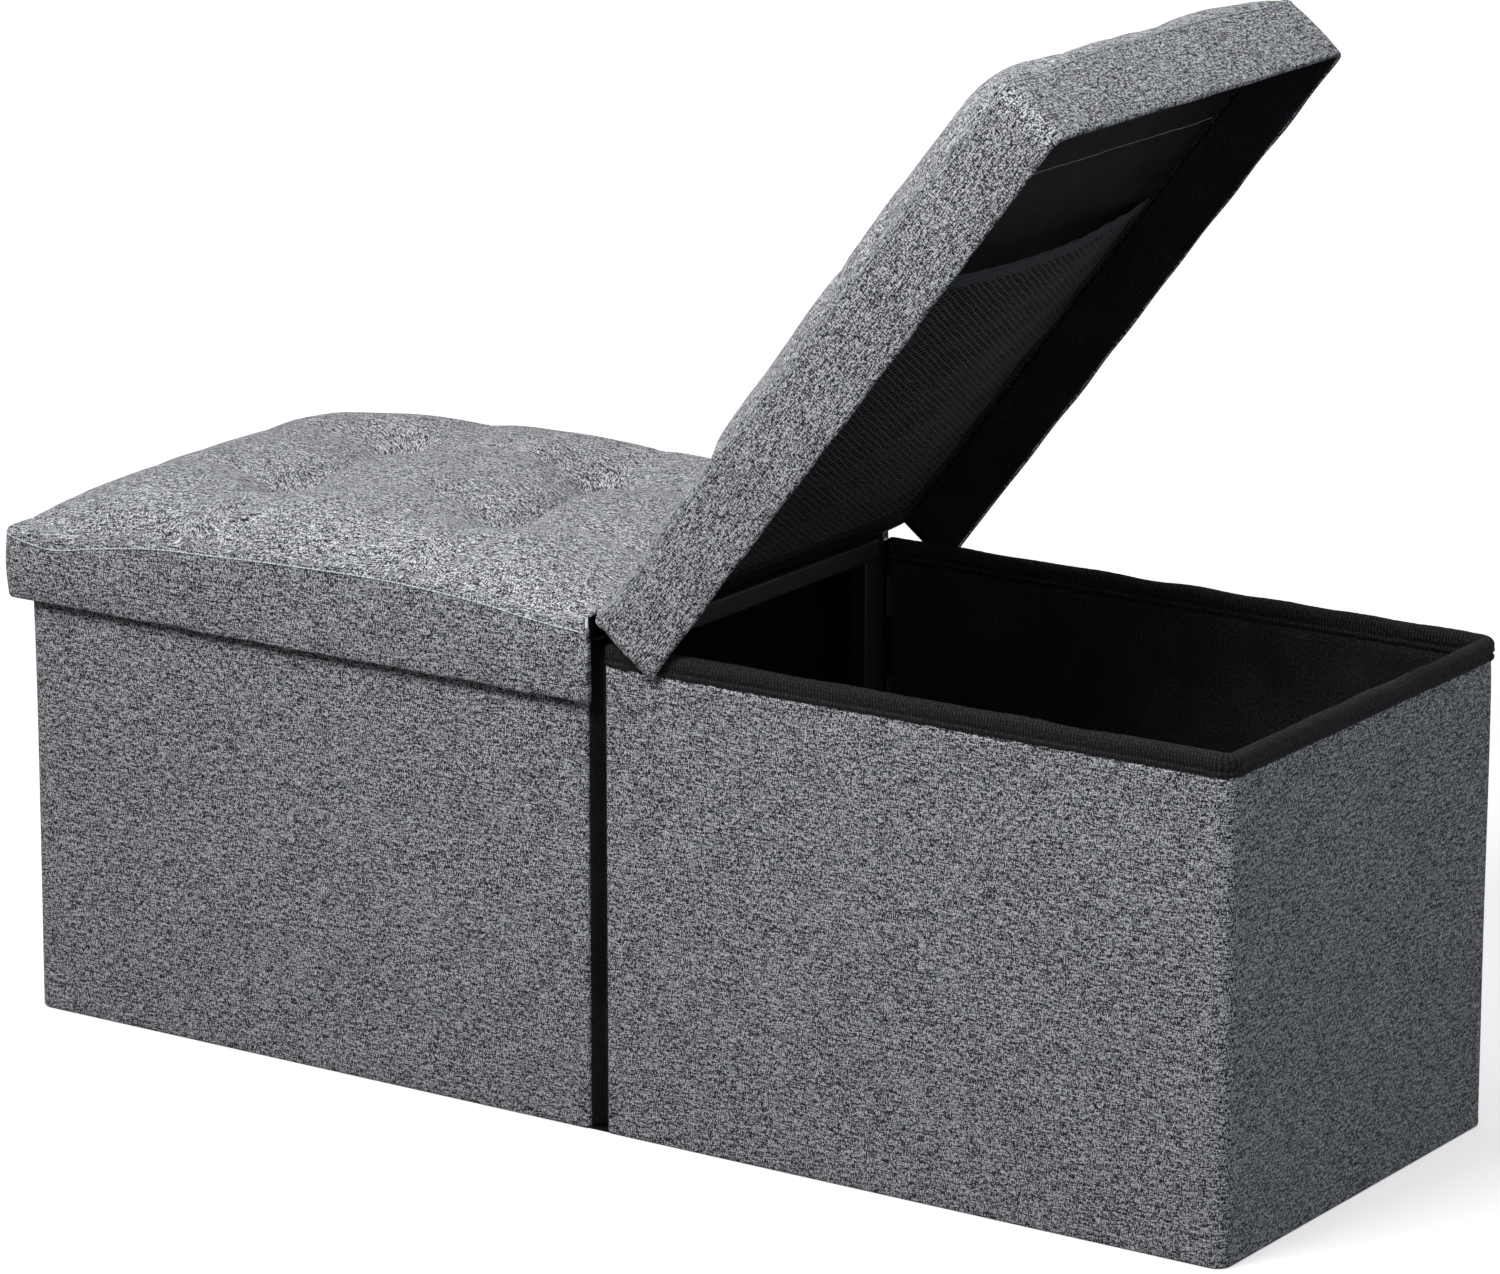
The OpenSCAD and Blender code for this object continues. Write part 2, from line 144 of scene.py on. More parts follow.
def onGrid(*coordinates):
    # points from coordinates that each change along the rows, along the columns, or along both
    return np.stack(np.broadcast_arrays(*coordinates), -1)


def roundTurn(count):
    # evenly spaced angles, once round
    return np.linspace(0, 2 * math.pi, count, endpoint=False)


def blunt(wave, power):
    # a sine or cosine pressed towards a square one
    return np.sign(wave) * np.abs(wave) ** power


def copies(quads, count, points):
    # the same faces again and again, each time so many points further on
    return (quads[None] + (np.arange(count) * points)[:, None, None]).reshape(-1, 4)


def spread(count, first, last, power=1.0):
    # numbers from first to last, closer together at both ends when power is above 1
    t = np.linspace(-1, 1, count)
    if power > 1:
        t = np.sin(t * math.pi / 2)
    return first + (last - first) * (t + 1) / 2


def planGrid(rows, columns, first=0):
    # from first to 1 along the rows and from -1 to 1 along the columns, closer together at the borders
    return np.meshgrid(spread(rows, first, 1, 2), spread(columns, -1, 1, 2), indexing="ij")


def ripple(a, b, wave, seed):
    # six plane waves of about the same length in random directions, added up; from about -1 to 1
    chance = np.random.default_rng(seed)
    total = 0.0
    for _ in range(6):
        turn, phase, stretch = chance.uniform((0, 0, 0.7), (6.28, 6.28, 1.5))
        total = total + np.sin(6.28 / (wave * stretch) * (a * math.cos(turn) + b * math.sin(turn)) + phase)
    return total / 2.6


def rise(d, reach, power):
    # from 0 at an edge to 1 at a distance of reach, steeply at first
    return 1 - (1 - np.clip(d / reach, 0, 1)) ** power


def bell(d, width):
    return np.exp(-((d / width) ** 2))


def curveThrough(x, stations):
    # a smooth curve through a few points: cubic pieces with the slope of the neighbours' chord at each
    xs, zs = np.array(stations, float).T
    slopes = np.gradient(zs, xs)
    k = np.clip(np.searchsorted(xs, x) - 1, 0, len(xs) - 2)
    wide = xs[k + 1] - xs[k]
    t = np.clip((x - xs[k]) / wide, 0, 1)
    return (
        zs[k] * (1 + 2 * t) * (1 - t) ** 2
        + zs[k + 1] * t * t * (3 - 2 * t)
        + wide * slopes[k] * t * (1 - t) ** 2
        + wide * slopes[k + 1] * t * t * (t - 1)
    )


def runAlong(line):
    return np.concatenate([[0], np.cumsum(np.linalg.norm(np.diff(line, axis=0), axis=1))])


def roundedPath(corners, radii, step):
    # a polyline in plan whose corners are arcs; gives points, outward normals and the length run so far
    corners = np.array(corners, float)
    runs = []
    last = corners[0]
    for before, corner, after, radius in zip(corners, corners[1:], corners[2:], radii):
        into = (corner - before) / np.linalg.norm(corner - before)
        out = (after - corner) / np.linalg.norm(after - corner)
        left = np.array([-into[1], into[0]])
        start = corner - into * radius
        count = max(2, int(np.linalg.norm(start - last) / step))
        runs.append(last + (start - last) * np.linspace(0, 1, count, endpoint=False)[:, None])
        turn = np.linspace(0, math.pi / 2, 9, endpoint=False)[:, None]
        runs.append(start + into * radius * np.sin(turn) + left * radius * (1 - np.cos(turn)))
        last = corner + out * radius
    count = max(2, int(np.linalg.norm(corners[-1] - last) / step))
    runs.append(last + (corners[-1] - last) * np.linspace(0, 1, count)[:, None])
    points = np.concatenate(runs)
    ahead = np.gradient(points, axis=0)
    ahead /= np.linalg.norm(ahead, axis=1)[:, None]
    return points, np.stack([ahead[:, 1], -ahead[:, 0]], 1), runAlong(points)


def beside(points, normals, out):
    return points[:, None, :] + normals[:, None, :] * out[..., None]


def standUp(points, normals, out, height):
    # a section (out, height) carried along a path in plan; both may change along it
    return np.concatenate([beside(points, normals, out), np.broadcast_to(height, out.shape)[..., None]], 2)


def opened(points):
    # turns a lid piece about the hinge line, from closed to where the frame has it at rest
    c, s = math.cos(restAngle), math.sin(restAngle)
    x, y, z = points[..., 0], points[..., 1], points[..., 2] - hingeZ
    return np.stack([x * c - z * s, y, hingeZ + x * s + z * c], -1)


def oneSide(name, points, quads, material, place, side, turnRight=False):
    # a single piece, drawn on the right: turned with the open lid, or mirrored to the left
    if side == "left":
        return meshPiece(name, points * np.array([-1.0, 1.0, 1.0]), quads[:, ::-1], material, place)
    return meshPiece(name, opened(points) if turnRight else points, quads, material, place)


def bothSides(name, points, quads, material, place, turnRight=False):
    # a piece of the right half and its mirror image, each with the name of its side
    sides = ("left", "right")
    return [(oneSide(name + s.title(), points, quads, material, place, s, turnRight), s) for s in sides]


def thicken(piece, thickness):
    wall = piece.modifiers.new("cloth", "SOLIDIFY")
    wall.thickness = thickness * mm
    wall.offset = 0


# materials


class Wires:
    # short calls that add nodes to one tree and link them
    def __init__(self, tree):
        self.tree = tree

    def put(self, kind, inputs=None, **settings):
        node = self.tree.nodes.new(kind)
        for key, value in settings.items():
            setattr(node, key, value)
        for key, value in (inputs or {}).items():
            self.feed(node.inputs[key], value)
        return node

    def feed(self, socket, value):
        if isinstance(value, bpy.types.NodeSocket):
            self.tree.links.new(value, socket)
        else:
            socket.default_value = value

    def calc(self, operation, *values):
        node = self.put("ShaderNodeMath", operation=operation)
        for socket, value in zip(node.inputs, values):
            self.feed(socket, value)
        return node.outputs[0]

    def times(self, value, factor):
        return self.calc("MULTIPLY", value, factor)

    def wave(self, value, rate):
        return self.calc("SINE", self.times(value, rate))

    def sway(self, value, gain, base):
        # base, raised or lowered as the value lies above or below one half
        return self.calc("MULTIPLY_ADD", self.calc("SUBTRACT", value, 0.5), gain, base)

    def mix(self, share, a, b):
        return self.put("ShaderNodeMix", {0: share, 2: a, 3: b}).outputs[0]

    def limits(self, value, low, high, start=0.0, end=1.0):
        inputs = {"Value": value, "From Min": low, "From Max": high, "To Min": start, "To Max": end}
        return self.put("ShaderNodeMapRange", inputs).outputs[0]

    def vector(self, x, y, z=0.0):
        return self.put("ShaderNodeCombineXYZ", {0: x, 1: y, 2: z}).outputs[0]

    def noise(self, place, detail=2.0, scale=1.0):
        inputs = {"Vector": place, "Scale": scale, "Detail": detail}
        return self.put("ShaderNodeTexNoise", inputs).outputs[0]

    def streaks(self, a, b, layer, detail=2.0):
        # noise over the threads; a and b are each a number of threads and how much of it counts
        return self.noise(self.vector(self.times(*a), self.times(*b), layer), detail)

    def ramp(self, value, stops):
        node = self.put("ShaderNodeValToRGB", {0: value})
        elements = node.color_ramp.elements
        while len(elements) < len(stops):
            elements.new(0.5)
        for element, (position, color) in zip(elements, stops):
            element.position = position
            element.color = (*color, 1)
        return node.outputs[0]


def newGroup(name, *numbers):
    # a group that turns a place on the cloth and a few numbers into a shade and a height
    tree = bpy.data.node_groups.new(name, "ShaderNodeTree")
    tree.interface.new_socket(name="Place", in_out="INPUT", socket_type="NodeSocketVector")
    for socket in numbers:
        tree.interface.new_socket(name=socket, in_out="INPUT", socket_type="NodeSocketFloat")
    for socket in ("Shade", "Height"):
        tree.interface.new_socket(name=socket, in_out="OUTPUT", socket_type="NodeSocketFloat")
    wires = Wires(tree)
    return tree, wires, wires.put("NodeGroupInput").outputs, wires.put("NodeGroupOutput").inputs


def threadCells(wires, given):
    # the place in threads, along and across
    size = wires.put("ShaderNodeVectorMath", {0: given["Place"]}, operation="SCALE")
    wires.feed(size.inputs["Scale"], wires.calc("DIVIDE", 1.0, given["Pitch"]))
    return wires.put("ShaderNodeSeparateXYZ", {0: size.outputs[0]}).outputs


def slubMask(wires, along, across, seed, rare, far):
    # thick stretches of thread: one row in a few carries them, each a long soft-ended stroke
    row = wires.calc("FLOOR", wires.times(across, 0.5))
    chance = wires.put("ShaderNodeTexWhiteNoise", {"Vector": wires.vector(row, seed)}).outputs["Value"]
    stroke = wires.streaks((along, far), (chance, 90.0), seed, 1.0)
    middle = wires.calc("ABSOLUTE", wires.wave(across, math.pi / 2))
    stroke = wires.limits(stroke, rare, wires.calc("ADD", rare, 0.04))
    return wires.times(stroke, wires.calc("POWER", middle, 1.5))


def makeHeatherWeave():
    # plain weave of uneven threads: each crossing shows the warp or the weft, with its own random tint,
    # and here and there a thick slub runs along the warp, more rarely along the weft
    tree, wires, given, result = newGroup("heatherWeave", "Pitch", "Slubs", "Rare")
    a, b, layer = threadCells(wires, given)
    warp = wires.streaks((a, 0.13), (b, 1.0), layer)
    weft = wires.streaks((a, 1.0), (b, 0.25), 9.0)
    waveA = wires.wave(a, math.pi)
    waveB = wires.wave(b, math.pi)
    over = wires.limits(wires.times(waveA, waveB), -0.25, 0.25)
    tone = wires.mix(over, weft, warp)
    cell = wires.vector(wires.calc("FLOOR", a), wires.calc("FLOOR", b), layer)
    speck = wires.put("ShaderNodeTexWhiteNoise", {"Vector": cell}).outputs["Value"]
    long = slubMask(wires, a, b, 4.0, given["Rare"], 0.008)
    short = slubMask(wires, b, a, 7.0, wires.calc("ADD", given["Rare"], 0.1), 0.011)
    slub = wires.times(wires.calc("MAXIMUM", long, short), given["Slubs"])
    shade = wires.sway(tone, 5.0, 0.5)
    shade = wires.sway(speck, 1.15, shade)
    shade = wires.sway(wires.streaks((a, 0.05), (b, 0.4), 5.0), 1.1, shade)
    shade = wires.sway(wires.streaks((a, 0.02), (b, 0.02), 2.0, 3.0), 0.22, shade)
    wires.feed(result["Shade"], wires.calc("MULTIPLY_ADD", slub, 0.4, shade))
    body = wires.mix(over, wires.calc("ABSOLUTE", waveA), wires.calc("ABSOLUTE", waveB))
    wires.feed(result["Height"], wires.calc("MULTIPLY_ADD", body, 0.5, wires.calc("ADD", tone, slub)))
    return tree


def makeFineGrain():
    # close black cloth: tiny diagonal cells over a felted ground
    tree, wires, given, result = newGroup("fineGrain", "Pitch", "Cells")
    a, b, layer = threadCells(wires, given)
    rising = wires.wave(wires.calc("ADD", a, b), math.pi)
    falling = wires.wave(wires.calc("SUBTRACT", a, b), math.pi)
    cells = wires.times(wires.times(rising, falling), given["Cells"])
    felt = wires.noise(wires.vector(a, b, layer), 4.0, 0.7)
    cloud = wires.noise(wires.vector(a, b, layer), 2.0, 0.03)
    wires.feed(result["Shade"], wires.sway(cloud, 0.5, wires.calc("MULTIPLY_ADD", cells, 0.22, felt)))
    wires.feed(result["Height"], wires.calc("ADD", cells, felt))
    return tree


def makeRibbedWeave():
    # tape and elastic: ribs across its run, broken by the uneven yarn and by faint lines along it
    tree, wires, given, result = newGroup("ribbedWeave", "Pitch", "Lines")
    a, b, layer = threadCells(wires, given)
    drift = wires.times(wires.streaks((a, 0.3), (b, 0.3), layer), 5.0)
    rib = wires.calc("SINE", wires.calc("MULTIPLY_ADD", a, math.pi * 2, drift))
    lines = wires.times(wires.wave(b, math.pi * 2), given["Lines"])
    yarn = wires.streaks((a, 2.2), (b, 0.7), layer, 3.0)
    shade = wires.calc("MULTIPLY_ADD", rib, 0.16, wires.calc("MULTIPLY_ADD", lines, 0.12, yarn))
    wires.feed(result["Shade"], shade)
    wires.feed(result["Height"], wires.calc("ADD", wires.calc("MULTIPLY_ADD", rib, 0.5, lines), yarn))
    return tree


heatherWeave = makeHeatherWeave()
fineGrain = makeFineGrain()
ribbedWeave = makeRibbedWeave()


def surfaceMaterial(name, group, values, stops, rough, bump, shine, sheen=0.0, strength=0.8, onCloth=True):
    # one group gives the shade and the height; the stops turn the shade into colour, and rough holds
    # two shades with the roughness at each
    material = bpy.data.materials.new(name)
    material.use_nodes = True
    wires = Wires(material.node_tree)
    surface = material.node_tree.nodes["Principled BSDF"]
    if onCloth:
        place = wires.put("ShaderNodeAttribute", attribute_name="weaveAt").outputs["Vector"]
    else:
        place = wires.put("ShaderNodeTexCoord").outputs["Object"]
    shade, height = wires.put("ShaderNodeGroup", {"Place": place, **values}, node_tree=group).outputs
    (low, start), (high, end) = rough
    relief = {"Height": height, "Strength": strength, "Distance": bump * mm}
    wires.feed(surface.inputs["Base Color"], wires.ramp(shade, stops))
    wires.feed(surface.inputs["Roughness"], wires.limits(shade, low, high, start, end))
    wires.feed(surface.inputs["Normal"], wires.put("ShaderNodeBump", relief).outputs[0])
    surface.inputs["Specular IOR Level"].default_value = shine
    surface.inputs["Sheen Weight"].default_value = sheen
    surface.inputs["Sheen Roughness"].default_value = 0.5
    return material


def clothMaterial(name, group, values, stops, rough, bump, shine=0.2, **more):
    # cloth is smoother where it is paler
    patches = [(0, rough + 0.06), (1, rough - 0.06)]
    return surfaceMaterial(name, group, values, stops, patches, bump, shine, **more)


def threadMaterial(name, cells, pitch, tones, rough, bump, shine=0.2):
    # sewing thread and net: three tones from dark to pale
    stops = list(zip((0.1, 0.6, 1.0), tones))
    weave = {"Pitch": pitch * mm, "Cells": cells}
    return clothMaterial(name, fineGrain, weave, stops, rough, bump, shine, onCloth=False)


def hardMaterial(name, color, rough, grain, bump):
    # hard black surfaces: a fine pebbled grain, a little paler and rougher in patches
    stops = [(0.3, [c * 0.7 for c in color]), (0.8, [c * 1.7 for c in color])]
    weave = {"Pitch": grain * mm, "Cells": 0.0}
    patches = [(0.2, rough - 0.07), (0.9, rough + 0.1)]
    return surfaceMaterial(name, fineGrain, weave, stops, patches, bump, 0.3, strength=0.5, onCloth=False)


def grey(value, blue=1.0):
    return (value * (1 - 0.03 * blue), value, value * (1 + 0.075 * blue))


linenTones = [
    (0.0, grey(0.01, 1.3)), (0.3, grey(0.05, 1.3)), (0.52, grey(0.22, 1.2)),
    (0.75, grey(0.59)), (1.0, grey(0.9, 0.6)),
]
linenWeave = {"Pitch": 0.92 * mm, "Slubs": 0.4, "Rare": 0.66}
seatWeave = {"Pitch": 0.92 * mm, "Slubs": 1.6, "Rare": 0.68}
linen = clothMaterial("heatherLinen", heatherWeave, linenWeave, linenTones, rough=0.88, bump=0.4, sheen=0.1)
seatLinen = clothMaterial("seatLinen", heatherWeave, seatWeave, linenTones, rough=0.88, bump=0.3, sheen=0.1)
liningCloth = clothMaterial(
    "liningCloth", fineGrain, {"Pitch": 1.5 * mm, "Cells": 1.2},
    [(0.2, (0.003, 0.003, 0.0035)), (0.6, (0.009, 0.009, 0.01)), (1.0, (0.034, 0.034, 0.037))],
    rough=0.85, bump=0.15, shine=0.06,
)
# the same black cloth as liningCloth, painted about three times paler: painted light that lifts the shade on
# the box's inner walls and inside the skirts
liningClothPaintedLight = clothMaterial(
    "liningClothPaintedLight", fineGrain, {"Pitch": 1.5 * mm, "Cells": 1.4},
    [(0.2, (0.009, 0.009, 0.0105)), (0.6, (0.028, 0.029, 0.033)), (1.0, (0.09, 0.093, 0.1))],
    rough=0.85, bump=0.15, shine=0.06,
)
bindingCloth = clothMaterial(
    "bindingCloth", ribbedWeave, {"Pitch": 2.6 * mm, "Lines": 0.3},
    [(0.15, (0.006, 0.006, 0.0065)), (0.5, (0.02, 0.02, 0.021)), (0.9, (0.064, 0.064, 0.066))],
    rough=0.85, bump=0.4, shine=0.08,
)
gussetCloth = clothMaterial(
    "gussetCloth", fineGrain, {"Pitch": 1.5 * mm, "Cells": 1.6},
    [(0.1, (0.005, 0.005, 0.006)), (0.6, (0.014, 0.014, 0.015)), (1.0, (0.055, 0.055, 0.06))],
    rough=0.8, bump=0.3, shine=0.06,
)
tapeCloth = clothMaterial(
    "tapeCloth", ribbedWeave, {"Pitch": 1.4 * mm, "Lines": 0.8},
    [(0.15, (0.006, 0.006, 0.0065)), (0.5, (0.015, 0.015, 0.016)), (0.9, (0.042, 0.042, 0.044))],
    rough=0.8, bump=0.25, shine=0.08,
)
elasticCloth = clothMaterial(
    "elasticCloth", ribbedWeave, {"Pitch": 1.6 * mm, "Lines": 1.4},
    [(0.15, (0.018, 0.02, 0.023)), (0.5, (0.05, 0.055, 0.062)), (0.9, (0.11, 0.118, 0.13))],
    rough=0.8, bump=0.3, shine=0.1,
)
netTones = [(0.02, 0.02, 0.021), (0.045, 0.045, 0.047), (0.1, 0.1, 0.104)]
netThread = threadMaterial("netThread", 0.2, 0.8, netTones, rough=0.6, bump=0.1, shine=0.15)
paleTones = [grey(0.6), grey(0.88), grey(0.98)]
paleThread = threadMaterial("paleThread", 0.4, 0.5, paleTones, rough=0.7, bump=0.05)
greyTones = [(0.14, 0.15, 0.15), (0.3, 0.32, 0.32), (0.42, 0.44, 0.44)]
greyThread = threadMaterial("greyThread", 0.4, 0.5, greyTones, rough=0.6, bump=0.05)
blackTones = [(0.01, 0.01, 0.011), (0.025, 0.025, 0.027), (0.06, 0.06, 0.06)]
blackThread = threadMaterial("blackThread", 0.4, 0.5, blackTones, rough=0.6, bump=0.05)
boardTones = [(0.2, (0.24, 0.16, 0.09)), (0.5, (0.42, 0.3, 0.18)), (0.9, (0.55, 0.42, 0.28))]
boardGrain = {"Pitch": 0.9 * mm, "Cells": 0.0}
fibreboard = clothMaterial("pressedFibreboard", fineGrain, boardGrain, boardTones, 0.8, 0.08, onCloth=False)
powderCoat = hardMaterial("blackPowderCoat", (0.008, 0.008, 0.0085), rough=0.55, grain=1.1, bump=0.06)
mouldedPlastic = hardMaterial("blackPlastic", (0.012, 0.012, 0.0125), rough=0.5, grain=0.6, bump=0.03)
print("materials made")


# box

cover = {
    "cloth": 1.5,         # thickness
    "edgeRound": 3.0,     # beside the gussets
    "hem": 1.6,           # rounding of the lower edge
    "waves": 0.5,         # slow unevenness of the panels
    "pucker": 0.35,       # small pleats under the binding
    "crease": 0.9,        # fold line in the middle of an end wall
    "step": 5.0,
    "turnIn": 6.5,        # how far it turns in beside the gussets
}


def wallPath(inset, startX, step, returnDepth=0.0, edgeRound=0.0):
    # round three sides of the right half, from the front of the gap to its rear
    x, y = wallX - inset, wallY - inset
    corners = [(startX, -y), (x, -y), (x, y), (startX, y)]
    radii = [wallCorner - inset] * 2
    if returnDepth:
        corners = [(startX, returnDepth - y), *corners, (startX, y - returnDepth)]
        radii = [edgeRound, *radii, edgeRound]
    return roundedPath(corners, radii, step)


def onEndWall(path, wallFace, reach):
    # 1 along the end wall and 0 along the sides; gives that, and each point's place across the end
    x, y = path[:, :1], path[:, 1:]
    return np.clip((x - wallFace + reach) / reach, 0, 1), y


def makeCovers():
    # outer skin: up the outside with a round hem, and down the inside; waves on the outer face only
    path, normals, run = wallPath(0, gapX, cover["step"], cover["turnIn"], cover["edgeRound"])
    outerZ = np.concatenate([[0.0, 0.35, 1.0], spread(62, 2.0, coverTop)])
    outerIn = np.concatenate([[-cover["hem"] + 0.4, -0.7, -0.25], np.zeros(62)])
    innerIn = np.array([-cover["cloth"]] * 4 + [-cover["cloth"] - 0.1])
    height = np.concatenate([outerZ, [coverTop, 240.0, 120.0, 2.5, 0.3]])
    out = np.broadcast_to(np.concatenate([outerIn, innerIn]), (len(path), len(height))).copy()
    s, z = run[:, None], outerZ[None, :]
    onEnd, y = onEndWall(path, wallX, 6)
    free = rise(z, 25, 2) * rise(coverTop - z, 25, 2)
    wave = cover["waves"] * ripple(s, z, 160, 3) * free
    wave = wave + cover["pucker"] * ripple(s, 0, 13, 5) * np.exp((z - coverTop) / 16)
    wave = wave - cover["crease"] * onEnd * bell(y, 2.2) + 0.35 * onEnd * bell(y, 9)
    calm = np.clip((s - 12) / 20, 0, 1) * np.clip((run[-1] - 12 - s) / 20, 0, 1)
    out[:, : len(outerZ)] += np.minimum(wave, 0.8) * calm
    grid = standUp(path, normals, out, height)
    for piece, side in bothSides("wallCover", grid, sweepQuads(grid)[:, ::-1], linen, onGrid(s, height, 0)):
        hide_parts("cover_" + side)
        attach(piece, "root")


def makeLiners():
    # inner lining: flat against the board, and slightly loose on the side that shows
    path, normals, run = wallPath(wallThick - liningThick, linerX, 6.0)
    low, high = lowest("liner_right")[2], highest("liner_right")[2]
    shownZ = spread(46, low, high)
    s, z = run[:, None], shownZ[None, :]
    onEnd, y = onEndWall(path, wallX - wallThick, 4)
    loose = rise(z - low, 20, 2) * rise(high - z, 20, 2)
    wave = (0.5 * ripple(s, z, 140, 11) + 0.3 * ripple(s, z * 0.4, 45, 12) - 0.4) * loose
    wave = wave + 0.8 * onEnd * bell(y, 3) * loose
    height = np.concatenate([shownZ, [high, (low + high) / 2, low]])
    out = np.concatenate([np.minimum(wave, 0.7) - liningThick, np.zeros((len(path), 3))], 1)
    grid = standUp(path, normals, out, height)
    # the wall lining uses the paler copy of the lining cloth, painted light that stands in for light inside
    # the box
    for piece, side in bothSides("wallLining", grid, sweepQuads(grid), liningClothPaintedLight, onGrid(s, height, 0)):
        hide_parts("liner_" + side)
        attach(piece, "root")


binding = {
    "proud": 2.0,        # how far it stands out from the wall
    "smallRoll": 5.0,    # height of the lower roll
    "groove": 1.5,
    "lumps": 0.8,        # slow swelling of the padding
    "wrinkles": 0.35,
    "step": 2.5,
}


def makeBindings():
    # half width of the section at a height: the upper roll is a half circle on straight flanks, the
    # lower roll a small circle, and a groove parts them
    half = wallThick / 2 + binding["proud"]
    small = binding["smallRoll"] / 2
    path, normals, run = wallPath(wallThick / 2, gapX, binding["step"])
    seamZ = coverTop + 2 * small
    topZ = rimTop - half
    lift = np.concatenate([
        coverTop + small * (1 - np.cos(np.linspace(0.15, math.pi * 0.82, 9))),
        np.linspace(seamZ + 0.4, topZ, 6),
        topZ + half * np.sin(np.linspace(0.2, math.pi / 2 - 0.08, 9)),
    ])
    lowRoll = half - small + np.sqrt(np.clip(small**2 - (lift - coverTop - small) ** 2, 0, None))
    inGroove = half - binding["groove"] * bell(lift - seamZ, 1.6)
    upRoll = np.sqrt(np.clip(half**2 - np.clip(lift - topZ, 0, None) ** 2, 0, None))
    width = np.where(lift < seamZ - 0.2, np.minimum(lowRoll, inGroove + 0.4), np.minimum(inGroove, upRoll))
    height = np.concatenate([lift, lift[::-1]])
    side = np.concatenate([np.ones(len(lift)), -np.ones(len(lift))])
    s = run[:, None]
    upper = np.clip((height - seamZ) / 4, 0, 1)
    swell = binding["lumps"] * ripple(s, 40 * side, 75, 21) * upper
    fold = binding["wrinkles"] * ripple(s, height * 1.5 + 30 * side, 9, 22)
    fold = fold + 0.25 * ripple(s * 1.6, height * 0.3 + 9 * side, 5, 23) * (1 - upper)
    out = np.concatenate([width, width[::-1]]) * side + side * np.clip(swell + fold, -1.0, 0.6)
    rim = height + upper**3 * (0.5 * ripple(s, 0, 60, 24) - 0.9)
    ends = rise(np.minimum(s, run[-1] - s), 5, 2.5)
    middle = (coverTop + rimTop) / 2
    grid = standUp(path, normals, out * (0.55 + 0.45 * ends), middle + (rim - middle) * (0.8 + 0.2 * ends))
    girth = np.cumsum(np.concatenate([[0], np.hypot(np.diff(height), np.diff(out[0]))]))
    quads = sweepQuads(grid)[:, ::-1]
    for piece, name in bothSides("rimBinding", grid, quads, bindingCloth, onGrid(s, girth, 0)):
        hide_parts("rim_binding_" + name)
        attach(piece, "root")


gusset = {"fold": 10.0, "cloth": 1.2, "columns": 25, "rows": 110, "tongue": 4.5}


def makeGussets():
    # cloth between the halves: a soft V in plan whose depth and middle line wander with the height; it
    # runs on above the rim as a short tongue
    low, high = lowest("gusset_front")[2], highest("gusset_front")[2] + gusset["tongue"]
    baseY = highest("gusset_rear")[1]
    t = np.linspace(-1, 1, gusset["columns"])[:, None]
    z = spread(gusset["rows"], low, high)[None, :]
    valley = 0.12 * ripple(z, 0, 150, 31)
    depth = gusset["fold"] - gusset["cloth"] + 0.8 * ripple(z, 0, 120, 32) + 0.25 * ripple(z, 0, 22, 33)
    shift = np.where(t < valley, (t + 1) / (valley + 1), (1 - t) / (1 - valley))
    x = t * gapX
    y = -baseY + gusset["cloth"] / 2 + depth * shift**1.25 * (1 - 0.12 * bell(t - valley, 0.25))
    place = onGrid(np.cumsum(np.abs(np.gradient(y, axis=0)), 0) + x, z, 0)
    for name, side in (("gussetFront", 1), ("gussetRear", -1)):
        grid = onGrid(x, side * y, z)
        piece = meshPiece(name, grid, gridQuads(*grid.shape[:2])[:, ::side], gussetCloth, place)
        thicken(piece, gusset["cloth"])
        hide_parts("gusset_front" if side > 0 else "gusset_rear")
        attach(piece, "root")


makeCovers()
makeLiners()
makeBindings()
makeGussets()
print("box made")


# lid

lid = {
    "groove": 1.1,       # depth of the seam between skirt and seat
    "hingeDip": 1.0,
    "hingeRise": 200.0,  # reach of the rise from the hinge line
    "hem": 2.2,
    "belly": 1.2,        # how far the skirt swells at half height
    "lean": 0.3,         # how far the seat's edge swells over the seam
}
leftHalf = {
    "edgeRise": 96.0,   # reach of the rounding at the sides
    "endRise": 142.0,
    "crown": 29.8,      # of the seat above the hinge line
    "slope": 7.7,       # how much of it is lost towards the end
    "stitch": 0.7,      # radius of the pale thread along the seam
    "corner": 6.0,      # how far the cloth is drawn back at its corners beside the hinge
    "seam": [(0, 385.5), (49, 389), (92, 394), (180, 398.5), (270, 397), (339, 394), (409, 390),
             (460, 382.5), (503, 376), (538, 381), (550, 383)],  # height of the seam along a long side
    "endSeam": [(0, 389), (90, 387), (160, 381), (200, 383)],  # and along the end, from its middle
}
rightHalf = {
    "edgeRise": 95.0,
    "endRise": 60.0,
    "crown": 18.5,
    "slope": -4.0,
    "stitch": 0.4,
    "corner": -5.0,     # here it reaches over the hinge line
    "seam": [(0, 385.5), (92, 389), (180, 390), (270, 388), (339, 389.5), (409, 387.5), (460, 385.5),
             (503, 383), (550, 387)],
    "endSeam": [(0, 392), (90, 391), (160, 387), (200, 387)],
}
halves = {"left": leftHalf, "right": rightHalf}
tuft = {
    "depth": 19.0,
    "reach": 27.0,
    "valley": 16.5,     # crease across the seat between two tufts
    "flank": 36.0,      # reach of the puffs' sides beside a crease
    "channel": 2.5,     # hollow along the seat
    "pleat": 1.0,
    "rows": (lidX * 0.315, lidX * 0.675),
    "side": lidY * 0.33,
}


def seamAt(x, y, half):
    # the seam's height above any point of the border, from the long sides' line and the end's
    onEnd = np.clip((x - (lidX - lidCorner)) / lidCorner, 0, 1)
    end = curveThrough(np.abs(y), half["endSeam"])
    return curveThrough(x, half["seam"]) * (1 - onEnd) + end * onEnd


